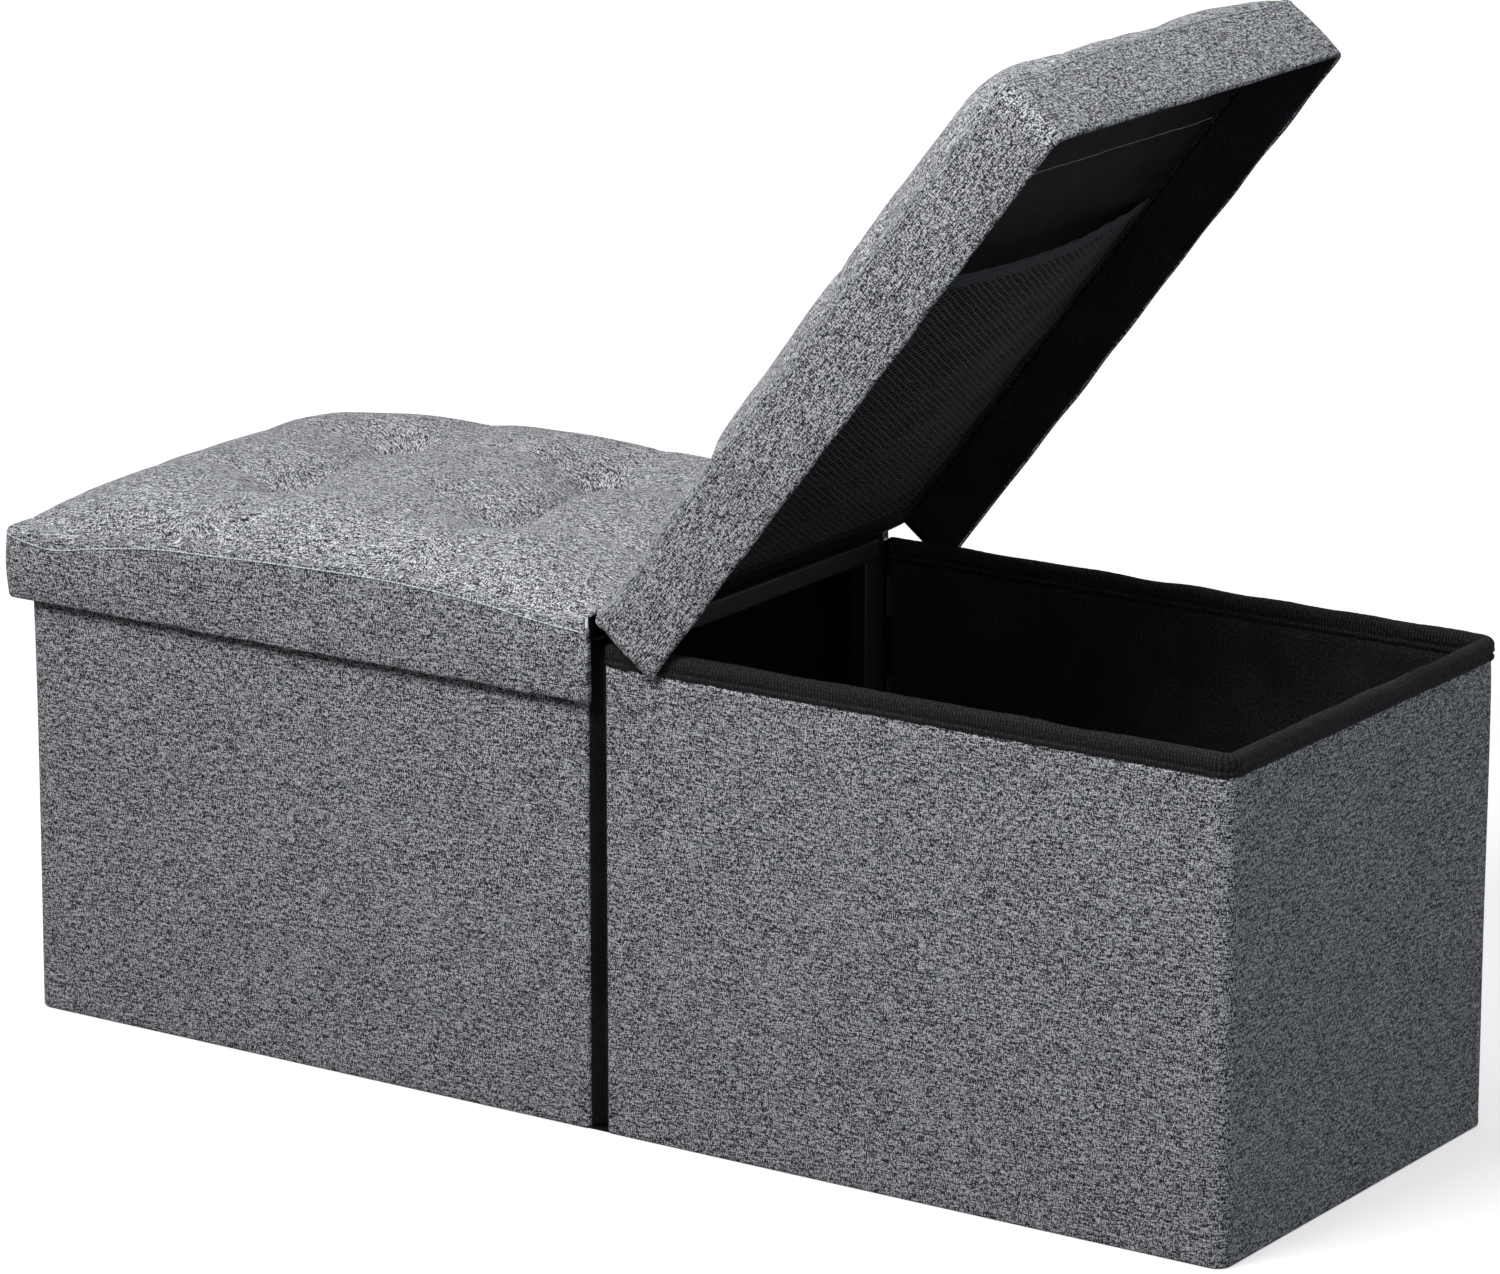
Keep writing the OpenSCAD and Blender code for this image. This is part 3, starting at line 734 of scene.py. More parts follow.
def cornerShift(fromHinge, z, half):
    # the cloth beside the hinge is drawn back or forward in the upper part of the lid's side
    t = np.clip((z - boardTop) / 7, 0, 1)
    return half["corner"] * t * t * (3 - 2 * t) * (1 - np.clip(fromHinge / 16, 0, 1)) ** 2


def tuftHollows(x, y):
    # a sharp crease between round puffs joins the two tufts of a row and runs out past them; each tuft
    # is a cusp with pleats fanning out of it, and shallow channels run along the seat
    total = 0.0
    for k, tx in enumerate(tuft["rows"]):
        bend = 2.5 * np.sin(y / 33 + 2 * k)
        away = np.abs(x - tx - bend) / tuft["flank"]
        past = np.clip((np.abs(y) - tuft["side"]) / 60, 0, 1)
        crease = (1 - rise(away, 1 + 0.5 * past, 2.4)) * (1 - past**2 * (3 - 2 * past))
        total = total + tuft["valley"] * crease
        for side in (-1, 1):
            ty = side * tuft["side"]
            d = np.hypot(x - tx - bend, (y - ty) * 0.9) + 1e-6
            turn = np.arctan2(y - ty, x - tx - bend)
            pleats = np.sin(9 * turn + 3 * k + side) + 0.6 * np.sin(5 * turn + k)
            total = total + tuft["depth"] * np.exp(-d / tuft["reach"])
            total = total + tuft["pleat"] * pleats * np.exp(-d / 26) * rise(d, 10, 2)
    for side in (-1, 1):
        total = total + tuft["channel"] * np.exp(-np.abs((y - side * tuft["side"]) / 16) ** 1.5)
    return total


def lidReach(y, inset):
    # how far the lid's outline reaches at y, round corners included
    r = lidCorner - inset
    inCorner = np.clip(np.abs(y) - (lidY - inset - r), 0, r)
    return lidX - inset - r + np.sqrt(np.clip(r**2 - inCorner**2, 0, None))


def seatSurface(rows, columns, half):
    # height of the seat over its plan: from the seam at the sides and the hinge line at the inner edge
    # it rises to the crown; the edge first leans out over the seam, and all of it stays above the board
    q, p = planGrid(rows, columns)
    flatY = p * (lidY - lid["groove"])
    reach = lidReach(flatY, lid["groove"])
    x = seatX + (reach - seatX) * q
    hingeGap = x - seatX
    sideGap = lidY - lid["groove"] - np.abs(flatY)
    endGap = reach - x
    seam = seamAt(x, flatY, half)
    side = rise(sideGap, half["edgeRise"] * (0.12 + 0.88 * rise(hingeGap, 70, 2)), 2.4) ** 0.72
    outer = rise(endGap, half["endRise"], 2.4) ** 0.72
    inner = rise(hingeGap, lid["hingeRise"], 2)
    crown = half["crown"] - half["slope"] * np.clip((x - 300) / (lidX - 300), 0, 1)
    top = (hingeZ - lid["hingeDip"] - seam) * (1 - inner) + (hingeZ + crown - seam) * inner * outer
    z = seam + side * top - side * outer * rise(hingeGap, 90, 1.5) * tuftHollows(x, flatY)
    z = z + side * (0.9 * ripple(x, flatY, 120, 41) + 0.35 * ripple(x, flatY, 46, 42)) * outer * inner
    floor = boardTop + 2.4 - 9 * np.exp(-np.minimum(sideGap, endGap) / 1.5)
    z = np.maximum(z, floor)
    lean, leanEnd = (lid["lean"] * np.exp(1 - gap / 3.5) * gap / 3.5 for gap in (sideGap, endGap))
    drawn = cornerShift(hingeGap, z, half) * bell(sideGap, 3)
    return x + leanEnd + drawn, flatY + np.sign(flatY) * lean, z, floor


def pillowPoints(upper, lower):
    return np.concatenate([upper.reshape(-1, 3), lower.reshape(-1, 3)])


def seatPoints(x, y, upper, half):
    # the cushion's upper side and its lower one: flat on the board, turned up to the seam at its border
    return pillowPoints(upper, onGrid(x, y, np.minimum(boardTop + 0.1, seamAt(x, y, half) - 1.0)))


def borderLoop(rows, columns):
    # the point numbers round a grid, once
    up = np.arange(rows - 1) * columns
    along = (rows - 1) * columns + np.arange(columns - 1)
    down = np.arange(rows - 1, 0, -1) * columns + columns - 1
    return np.concatenate([up, along, down, np.arange(columns - 1, 0, -1)])


def pillowQuads(rows, columns):
    upper = gridQuads(rows, columns)
    count = rows * columns
    lower = gridQuads(rows, columns, first=count)[:, ::-1]
    border = borderLoop(rows, columns)
    ahead = np.roll(border, -1)
    wall = np.stack([border, border + count, ahead + count, ahead], 1)
    return np.concatenate([upper, lower, wall[:, ::-1]])


def settle(half, frames, share, cap):
    # a coarse copy of the seat is blown up as cloth, held at its border, its tufts and its lower side;
    # gives a share of how far each point of its upper side moved, but no more than cap
    x, y, z, _ = seatSurface(84, 64, half)
    rows, columns = x.shape
    start = seatPoints(x, y, onGrid(x, y, z), half)
    count = rows * columns
    piece = meshPiece("seatInTheMaking", start, pillowQuads(rows, columns), linen)
    near = np.min([np.hypot(x - tx, np.abs(y) - tuft["side"]) for tx in tuft["rows"]], 0)
    held = near.ravel() < 9
    held[borderLoop(rows, columns)] = True
    pins = np.concatenate([np.flatnonzero(held), np.arange(count, 2 * count)])
    group = piece.vertex_groups.new(name="held")
    group.add([int(i) for i in pins], 1.0, "REPLACE")
    cloth = piece.modifiers.new("settle", "CLOTH")
    cloth.point_cache.frame_start = 1
    cloth.point_cache.frame_end = frames
    made = cloth.settings
    made.quality = 6
    made.mass = 0.25
    made.tension_stiffness = 14
    made.compression_stiffness = 10
    made.shear_stiffness = 6
    made.bending_stiffness = 0.6
    made.shrink_min = -0.015
    made.use_pressure = True
    made.uniform_pressure_force = 3.0
    made.vertex_group_mass = "held"
    made.effector_weights.gravity = 0
    for step in range(1, frames + 1):
        bpy.context.scene.frame_set(step)
    shown = piece.evaluated_get(bpy.context.evaluated_depsgraph_get())
    ended = np.zeros(len(start) * 3, np.float32)
    shown.data.vertices.foreach_get("co", ended)
    moved = (ended.reshape(-1, 3) / mm - start)[:count]
    bpy.context.scene.frame_set(1)
    bpy.data.objects.remove(piece)
    size = np.linalg.norm(moved, axis=1)[:, None]
    moved = moved * np.minimum(share, cap / np.maximum(size, 1e-6))
    print("seat settled, moved up to", round(float(size.max()), 1), "mm")
    return moved.reshape(rows, columns, 3)


def finer(field, rows, columns):
    # a grid of values resampled to more rows and columns, by straight lines between its points
    def weights(few, many):
        at = np.linspace(0, few - 1, many)
        low = np.clip(at.astype(int), 0, few - 2)
        table = np.zeros((many, few))
        table[np.arange(many), low] = 1 - (at - low)
        table[np.arange(many), low + 1] = at - low
        return table
    return np.einsum("ri,cj,ijk->rck", weights(field.shape[0], rows), weights(field.shape[1], columns), field)


def clothLengths(grid):
    # how much cloth lies between each point and the hinge, and between it and the seat's middle line
    along = np.linalg.norm(np.diff(grid, axis=0), axis=-1)
    across = np.linalg.norm(np.diff(grid, axis=1), axis=-1)
    u = np.pad(np.cumsum(along, 0), ((1, 0), (0, 0)))
    v = np.pad(np.cumsum(across, 1), ((0, 0), (1, 0)))
    middle = v.shape[1] // 2
    return np.stack([u, v - v[:, middle : middle + 1], 0 * u], -1)


def makeSeats():
    rows, columns = 250, 190
    for side, half in halves.items():
        x, y, z, floor = seatSurface(rows, columns, half)
        grid = onGrid(x, y, z)
        grid = grid + finer(settle(half, frames=16, share=0.75, cap=5.5), rows, columns)
        grid[..., 2] = np.maximum(grid[..., 2], floor)
        points = seatPoints(x, y, grid, half)
        flat = clothLengths(grid)
        place = pillowPoints(flat, flat)
        quads = pillowQuads(rows, columns)
        piece = oneSide("seat" + side.title(), points, quads, seatLinen, place, side, True)
        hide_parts("foam_" + side, "seat_cover_" + side)
        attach(piece, "lid_" + side)


def lidPath(inset, step, startX):
    x, y = lidX - inset, lidY - inset
    corners = [(startX, -y), (x, -y), (x, y), (startX, y)]
    return roundedPath(corners, [lidCorner - inset] * 2, step)


def makeSkirts():
    # section of the skirt: turned up inside, round the hem, up the outside with a slight belly, into
    # the seam's groove and down the back
    path, normals, run = lidPath(0, 4.0, skirtX)
    s, hem = run[:, None], lid["hem"]
    turn = np.linspace(-math.pi, 0, 7)
    upT = np.linspace(0.08, 0.93, 22)
    swell = np.sin(math.pi * upT)
    belly = lid["belly"] * swell**0.8 + 0.45 * ripple(s, 60 * upT, 90, 51) * swell
    pucker = 0.3 * ripple(s, 0, 11, 52) * np.exp((upT - 1) / 0.12)
    lipT = np.linspace(0.1, 1, 6) * math.pi / 2
    hemWave = 0.5 * ripple(s, 0, 70, 53)
    back = 0.1 - skirtThick
    for side, half in halves.items():
        top = seamAt(path[:, :1], path[:, 1:], half)
        rows = [
            (back, skirtLow + 12),
            (back + 0.2, skirtLow + 5),
            (-hem - 0.1 + hem * np.cos(turn), skirtLow + hem * (1 + np.sin(turn)) + hemWave),
            (belly + pucker - 0.1, skirtLow + hem + hemWave * (1 - upT) + (top - skirtLow - hem - 2.2) * upT),
            (-lid["groove"] * (1 - np.cos(lipT)) - 0.1, top - 2.2 * (1 - np.sin(lipT)) - 0.2),
            (back, top - 1.2),
            (back, (top + skirtLow) / 2),
        ]
        rows = [np.broadcast_arrays(out, height, s)[:2] for out, height in rows]
        out, height = (np.concatenate(part, 1) for part in zip(*rows))
        grid = standUp(path, normals, out, height)
        grid[..., 0] += cornerShift(grid[..., 0] - skirtX, grid[..., 2], half)
        quads = sweepQuads(grid)[:, ::-1]
        piece = oneSide("skirt" + side.title(), grid, quads, linen, onGrid(s, height, 0), side, True)
        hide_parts("skirt_front_" + side, "skirt_rear_" + side, "skirt_end_" + side)
        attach(piece, "lid_" + side)


def stitchRow(line, outward, stitch):
    # threads lying along a line: each is a spindle of five rings, as many as the pitch allows; outward
    # is one direction, or one for each point of the line
    length = runAlong(line)
    at = np.arange(stitch["pitch"], length[-1] - stitch["pitch"], stitch["pitch"])
    def sample(values, where):
        return np.stack([np.interp(where, length, values[:, k]) for k in range(3)], -1)
    centre = sample(line, at)
    ahead = sample(line, at + 0.6) - sample(line, at - 0.6)
    ahead /= np.linalg.norm(ahead, axis=1)[:, None]
    out = sample(np.broadcast_to(np.asarray(outward, float), line.shape), at)
    out -= ahead * np.sum(out * ahead, 1)[:, None]
    out /= np.linalg.norm(out, axis=1)[:, None]
    across = np.cross(ahead, out)
    t = np.array([-1, -0.7, 0, 0.7, 1])
    turn = roundTurn(6)
    thick = stitch["radius"] * np.sqrt(1.02 - t**2)
    lift = 0.25 * stitch["radius"] * (1 - 2 * t**2)
    points = (
        centre[:, None, None, :]
        + ahead[:, None, None, :] * (t * stitch["length"] / 2)[None, :, None, None]
        + out[:, None, None, :] * (lift[:, None] + thick[:, None] * np.cos(turn))[None, :, :, None]
        + across[:, None, None, :] * (thick[:, None] * np.sin(turn))[None, :, :, None]
    )
    body = gridQuads(5, 6, closeColumns=True)
    caps = np.array([[0, 1, 2, 3], [0, 3, 4, 5]])
    return points, copies(np.concatenate([body[:, ::-1], caps, caps[:, ::-1] + 24]), len(at), 30)


topStitch = {"pitch": 4.6, "length": 4.3}


def makeTopStitches():
    # a row of pale thread along the upper edge of each skirt
    path, normals, _ = lidPath(0, 4.0, skirtX)
    outward = np.column_stack([normals, np.zeros(len(path))])
    for side, half in halves.items():
        z = seamAt(path[:, 0], path[:, 1], half) - 3.4
        line = np.column_stack([path + normals * 0.5, z])
        line[:, 0] += cornerShift(path[:, 0] - skirtX, z, half)
        points, quads = stitchRow(line, outward, {**topStitch, "radius": half["stitch"]})
        piece = oneSide("topStitch" + side.title(), points, quads, paleThread, None, side, True)
        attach(piece, "lid_" + side)


lining = {
    "seam": 437.0,       # distance of its cross seam from the hinge line
    "inset": 0.9,        # from the skirt's inner face
    "rows": 110,
    "columns": 80,
}
skirtInY = lidY - skirtThick


def liningWaves(x, y, edge):
    # height of the lining under the board, drawn tight at its edges
    slack = 0.3 * ripple(x, y, 90, 61) + 0.2 * ripple(x, y, 28, 62) - 0.35
    return liningZ + 0.25 + slack * rise(edge, 30, 2)


def makeLidLinings():
    # under the board: a sheet drawn tight between its edges, with a seam across it
    q, p = planGrid(lining["rows"], lining["columns"])
    halfWidth = skirtInY - lining["inset"]
    y = p * halfWidth
    reach = lidReach(y, skirtThick + lining["inset"])
    x = lidInnerX + (reach - lidInnerX) * q
    edge = np.minimum(halfWidth - np.abs(y), np.minimum(x - lidInnerX, reach - x))
    z = liningWaves(x, y, edge) + 1.0 * bell(x - lining["seam"], 1.6) * rise(edge, 8, 1)
    points = pillowPoints(onGrid(x, y, liningZ + 1.1), onGrid(x, y, z))
    flat = onGrid(x, y, 0)
    quads = pillowQuads(*x.shape)
    board = bothSides("lidLining", points, quads, liningCloth, pillowPoints(flat, flat), True)
    # inside the skirt: a band from the hem to the board
    path, normals, run = lidPath(skirtThick, 6.0, lidInnerX)
    low, high = skirtLow + 1, liningZ - 0.2
    up = spread(16, low, high)
    s, t = run[:, None], (up - skirtLow) / (liningZ - skirtLow)
    loose = -0.5 - (0.15 + 0.15 * ripple(s, 50 * t, 60, 63)) * np.sin(math.pi * t)
    out = np.concatenate([loose, np.full((len(path), 2), -0.05)], 1)
    height = np.concatenate([up, [high, low]])
    grid = standUp(path, normals, out, height)
    # the band uses the same paler copy of the lining cloth, painted light that stands in for light inside the
    # skirts
    band = bothSides("skirtLining", grid, sweepQuads(grid), liningClothPaintedLight, onGrid(s, height, 0), True)
    for piece, side in (*board, *band):
        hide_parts("lid_lining_" + side)
        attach(piece, "lid_" + side)


def softSlab(low, high, shape):
    # a wrapped board or a strap: a flat pillow with round corners in plan, round edges and a slightly
    # uneven upper side; shape is one of the dictionaries below
    low, high = np.array(low, float), np.array(high, float)
    middle, half = (low + high) / 2, (high - low) / 2
    corner, bend = shape["corner"], shape["round"]
    q, p = planGrid(*shape["points"], -1)
    y = p * half[1]
    inside = np.clip(np.abs(y) - (half[1] - corner), 0, corner)
    reach = half[0] - corner + np.sqrt(np.clip(corner**2 - inside**2, 0, None))
    x = q * reach
    edge = np.clip(np.minimum(half[1] - np.abs(y), reach - np.abs(x)) / bend, 0, 1)
    drop = bend * (1 - np.sqrt(1 - (1 - edge) ** 2))
    wave = shape["uneven"] * (ripple(x, y, 70, shape["seed"]) - 1) * edge
    upper = onGrid(middle[0] + x, middle[1] + y, high[2] - drop + wave)
    lower = onGrid(middle[0] + x, middle[1] + y, low[2] + drop)
    flat = onGrid(x, y, 0)
    return pillowPoints(upper, lower), pillowQuads(*shape["points"]), pillowPoints(flat, flat)


# hinge of the lid

hingeCloth = {
    "bead": 2.3,       # radius of the covered bead on the hinge line
    "drawnIn": 2.2,    # how far the lining between the halves is drawn towards the hinge line
    "cloth": 0.9,
    "rows": 150,
    "columns": 19,
}


def makeHinge():
    # a linen bead fills the valley between the seats
    y = spread(hingeCloth["rows"], -lidY + 3.2, lidY - 3.2)[:, None]
    turn = roundTurn(16)
    r = hingeCloth["bead"] + 0.12 * ripple(y, 3 * turn, 11, 71)
    r = r * (0.35 + 0.65 * rise(np.minimum(y - y[0], y[-1] - y), 2.5, 2))
    grid = onGrid(r * np.cos(turn), y, hingeZ + r * np.sin(turn))
    bead = meshPiece("hingeBead", grid, sweepQuads(grid), linen, onGrid(y, hingeCloth["bead"] * turn, 0))
    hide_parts("lid_hinge")
    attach(bead, "lid_left")

    # under it the lining runs on from one half to the other, a slack arc round the hinge line
    first = np.array([-lidInnerX, liningZ - hingeZ])
    start = math.atan2(first[1], first[0])
    radius = math.hypot(*first)
    end = -math.pi - start + restAngle
    halfWidth = skirtInY - 1.5
    t = np.linspace(0, 1, hingeCloth["columns"])
    y = spread(hingeCloth["rows"], -halfWidth, halfWidth)[:, None]
    angle = start + (end - start) * t
    slack = np.sin(math.pi * t) ** 0.8 * (0.75 + 0.5 * t)
    folds = 0.7 * ripple(y, 20 * t, 60, 72) + 0.35 * ripple(y, 12 * t, 14, 73)
    r = radius - slack * (hingeCloth["drawnIn"] + folds)
    grid = onGrid(r * np.cos(angle), y, hingeZ + r * np.sin(angle))
    place = onGrid(y, radius * (angle - start), 0)
    piece = meshPiece("hingeLining", grid, gridQuads(*grid.shape[:2])[:, ::-1], liningCloth, place)
    thicken(piece, hingeCloth["cloth"])
    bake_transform(piece)


def makeLidEdges():
    # cloth that closes the inner edge of each half: slack between the lining and the hinge, drawn round
    # the board's edge below
    y = spread(130, -skirtInY - 1.2, skirtInY + 1.2)[:, None]
    t = np.linspace(0, 1, 14)[None, :]
    z = liningZ - 0.5 + (hingeZ - 3.2 - liningZ) * t
    free = np.sin(math.pi * t)
    puff = 0.35 + 0.45 * free + (0.25 * ripple(y, z, 45, 81) + 0.2 * ripple(y, 2 * z, 13, 82)) * free
    face = onGrid(lidInnerX - np.clip(puff, 0.1, 1.1), y, z)
    grid = np.concatenate([face, onGrid(lidInnerX + 0.5, y, z[:, ::-1])], 1)
    place = onGrid(y, np.concatenate([z, 40 + z], 1), 0)
    for side in ("left", "right"):
        piece = oneSide("lidEdge" + side.title(), grid, sweepQuads(grid), liningCloth, place, side, True)
        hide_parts("lid_edge_" + side)
        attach(piece, "lid_" + side)


barTack = {
    "heights": np.array([389.2, 391.0, 392.8]),
    "half": 2.7,         # of its length
    "radius": 0.75,
    "bow": 1.9,          # how far its ends are drawn into the cloth
}


def makeBarTacks():
    # pale stitches that gather the corner of the left half at each end of the hinge
    t = np.linspace(-1, 1, 9)[None, :, None]
    turn = roundTurn(8)
    thick = barTack["radius"] * np.sqrt(1.03 - t**2)
    x = barTack["half"] * t - 2.6 - leftHalf["corner"]
    z = barTack["heights"][:, None, None] + 0.5 * t + thick * np.sin(turn)
    for side, name in ((-1, "Front"), (1, "Rear")):
        points = onGrid(x, side * (lidY - 1.2 - barTack["bow"] * t**2 + thick * np.cos(turn)), z)
        quads = copies(sweepQuads(points[0]), len(points), points[0].size // 3)
        piece = meshPiece("barTack" + name, points, quads[:, ::side], paleThread)
        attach(piece, "lid_left")


# pocket under the right half of the lid, drawn with the lid closed

pocket = {
    "start": 20.0,
    "length": 326.0,
    "width": 178.7,      # half of it
    "depth": 16.0,       # of the mouth, at its middle
    "bandWidth": 14.0,
    "bandThick": 2.0,
    "lining": 1.0,       # the net starts this far below the lid's lining
    "tape": 9.0,
    "edge": 2.0,
    "thread": 1.5,       # width of a thread of the net
    "families": [(-31, 4.5, 0.0), (18, 4.6, 0.45)],  # degrees from across, distance apart, depth
}
mouthX = pocket["start"] + pocket["length"]


def pocketDepth(x, y):
    # how far the net stands off the lining: it rises to the mouth, and is highest on the middle line
    t = np.clip((x - pocket["start"]) / pocket["length"], 0, 1)
    side = np.clip(np.abs(y) / pocket["width"], 0, 1)
    return pocket["depth"] * (1 - (1 - t) ** 2) * (1 - side**2)


def netFamily(degrees, apart, deeper, seed):
    # parallel threads across the pocket at an angle, each cut off at the pocket's outline
    turn = math.radians(degrees)
    along = np.array([math.sin(turn), math.cos(turn)])
    aside = np.array([math.cos(turn), -math.sin(turn)])
    centre = np.array([pocket["start"] + pocket["length"] / 2, 0.0])
    half = np.array([pocket["length"] / 2 + 1, pocket["width"] - 1])
    reach = abs(aside[0]) * half[0] + abs(aside[1]) * half[1]
    offsets = np.arange(-reach + apart, reach - apart / 2, apart)[:, None]
    base = offsets * aside
    enter = (-np.sign(along) * half - base) / along
    leave = (np.sign(along) * half - base) / along
    s0, s1 = enter.max(1)[:, None], leave.min(1)[:, None]
    keep = (s1 - s0)[:, 0] > 5
    offsets, s0, s1 = offsets[keep], s0[keep], s1[keep]
    s = s0 + (s1 - s0) * np.linspace(0, 1, 62)[None, :]
    wiggle = 0.4 * ripple(s, 7 * offsets, 26, seed) + 0.25 * ripple(s, 3 * offsets, 90, seed + 1)
    plan = centre + s[..., None] * along + (offsets + wiggle)[..., None] * aside
    depth = pocketDepth(plan[..., 0], plan[..., 1]) + 0.5 + deeper
    depth = depth + 0.5 * ripple(plan[..., 0], plan[..., 1], 80, 93)
    swell = 1 + 0.18 * ripple(s, 5 * offsets, 6, seed + 2)
    wide = pocket["thread"] / 2 * swell
    side = np.array([-1.0, 0.0, 1.0, 0.0])
    lift = np.array([0.0, 0.42, 0.0, -0.42])
    flat = plan[..., None, :] + (wide[..., None, None] * side[:, None]) * aside
    z = liningZ - pocket["lining"] - depth[..., None] - lift
    points = np.concatenate([flat, z[..., None]], -1)
    last = 4 * points.shape[1]
    body = gridQuads(points.shape[1], 4, closeColumns=True)
    caps = np.array([[0, 1, 2, 3], [last - 1, last - 2, last - 3, last - 4]])
    return points.reshape(-1, 3), copies(np.concatenate([body[:, ::-1], caps]), len(points), last)


def makeNet():
    parts = [netFamily(*family, 90 + 5 * k) for k, family in enumerate(pocket["families"])]
    (points, quads), (morePoints, moreQuads) = parts
    quads = np.concatenate([quads, moreQuads + len(points)])
    points = np.concatenate([points, morePoints])
    piece = oneSide("pocketNet", points, quads, netThread, None, "right", True)
    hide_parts("pocket_mesh")
    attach(piece, "lid_right")


def makeBand():
    # ribbed elastic along the mouth, its section a flat oval; it cups a little and gathers in waves
    half, thick = pocket["bandWidth"] / 2, pocket["bandThick"] / 2
    y = spread(170, -pocket["width"] + 0.5, pocket["width"] - 0.5)[:, None]
    turn = roundTurn(20)
    across = blunt(np.cos(turn), 0.45)
    through = blunt(np.sin(turn), 0.8)
    gather = 0.35 * ripple(y, 0, 17, 101) + 0.2 * ripple(y, 0, 7, 102)
    x = mouthX + half * (1 + across) + 0.5 * ripple(y, 0, 60, 103)
    z = liningZ - pocket["lining"] - pocketDepth(mouthX, y) - thick
    z = z - gather * (0.4 + 0.6 * np.abs(across)) + thick * through
    grid = onGrid(x, y, z)
    place = onGrid(y, half * across, through)
    piece = oneSide("pocketBand", grid, sweepQuads(grid), elasticCloth, place, "right", True)
    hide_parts("pocket_band")
    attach(piece, "lid_right")


pocketStitch = {"pitch": 3.4, "length": 2.8, "radius": 0.3, "inset": 2.2}


def makePocketTape():
    # tape folded round the net's three sewn edges: one side on the lining, the other over the net
    half = pocket["tape"] / 2
    x0 = pocket["start"] - pocket["edge"] + half
    x1 = mouthX + pocket["bandWidth"] - 0.3
    y1 = pocket["width"] + pocket["edge"] - half
    path, normals, run = roundedPath([(x1, y1), (x0, y1), (x0, -y1), (x1, -y1)], [half, half], 4.0)
    s, turn = run[:, None], roundTurn(18)
    out = half * blunt(np.cos(turn), 0.35) + 0.25 * ripple(s, 0, 40, 111)
    plan = beside(path, normals, out)
    under = pocketDepth(plan[..., 0], plan[..., 1]) + 1.9 + 0.15 * ripple(s, 3 * out, 9, 112)
    through = (blunt(np.sin(turn), 0.6) + 1) / 2
    grid = onGrid(plan[..., 0], plan[..., 1], liningZ - 0.15 - (pocket["lining"] + under) * through)
    place = onGrid(s, out + 12 * through, 0)
    piece = oneSide("pocketTape", grid, sweepQuads(grid)[:, ::-1], tapeCloth, place, "right", True)
    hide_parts("pocket_binding")
    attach(piece, "lid_right")
    for name, way in (("pocketStitch", -1), ("pocketStitchInner", 1)):
        at = path + normals * way * pocketStitch["inset"]
        depth = pocketDepth(at[:, 0], at[:, 1]) + pocket["lining"] + 2.05
        points, quads = stitchRow(np.column_stack([at, liningZ - depth]), (0, 0, -1), pocketStitch)
        piece = oneSide(name, points, quads, blackThread, None, "right", True)
        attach(piece, "lid_right")


seamStitch = {"pitch": 4.0, "length": 3.9, "radius": 0.5}


def makeSeamStitches():
    # the lining's cross seam shows a fine lighter thread on both halves
    y = np.linspace(-skirtInY + 4, skirtInY - 4, 120)
    x = lining["seam"] + 3.0 + 0.4 * ripple(y, 0, 90, 64)
    z = liningWaves(x, y, skirtInY - lining["inset"] - np.abs(y)) - 0.1
    points, quads = stitchRow(np.column_stack([x, y, z]), (0, 0, -1), seamStitch)
    for piece, side in bothSides("seamStitch", points, quads, greyThread, None, True):
        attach(piece, "lid_" + side)


# floor of the box

floorBoard = {"corner": 4.0, "round": 2.2, "points": (120, 90), "uneven": 0.25, "seed": 121}
floorTab = {"corner": 6.0, "round": 0.9, "points": (26, 30), "uneven": 0.1, "seed": 122}
tabStitch = {"pitch": 2.6, "length": 2.1, "radius": 0.3, "half": np.array([8, 10])}
floorTape = {"corner": 1.5, "round": 0.34, "points": (110, 16), "uneven": 0.05, "seed": 123}
tapeStitch = {"pitch": 3.6, "length": 2.9, "radius": 0.28}
baseCorner = wallCorner - cover["cloth"]
baseCloth = {"corner": baseCorner, "round": 0.7, "points": (220, 90), "uneven": 0.12, "seed": 131}


def makeFloorBoard(side):
    points, quads, place = softSlab(lowest("floor_board_right"), highest("floor_board_right"), floorBoard)
    piece = oneSide("floorBoard" + side.title(), points, quads, liningCloth, place, side)
    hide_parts("floor_board_" + side)
    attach(piece, "floor_" + side)


def makeFloorTab(side):
    # webbing tab with a crossed box of stitches
    low, high = lowest("floor_tab_right"), highest("floor_tab_right")
    points, quads, place = softSlab(low, high, floorTab)
    piece = oneSide("floorTab" + side.title(), points, quads, tapeCloth, place, side)
    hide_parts("floor_tab_" + side)
    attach(piece, "floor_" + side)
    corners = np.array([(-1, -1), (1, -1), (1, 1), (-1, 1), (-1, -1), (1, 1), (1, -1), (-1, 1)])
    box = corners * tabStitch["half"] + (low + high)[:2] / 2 + [0, 6]
    runs = np.concatenate([a + (b - a) * np.linspace(0, 1, 12)[:, None] for a, b in zip(box, box[1:])])
    line = np.column_stack([runs, np.full(len(runs), high[2] - 0.1)])
    points, quads = stitchRow(line, (0, 0, 1), tabStitch)
    piece = oneSide("tabStitch" + side.title(), points, quads, greyThread, None, side)
    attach(piece, "floor_" + side)


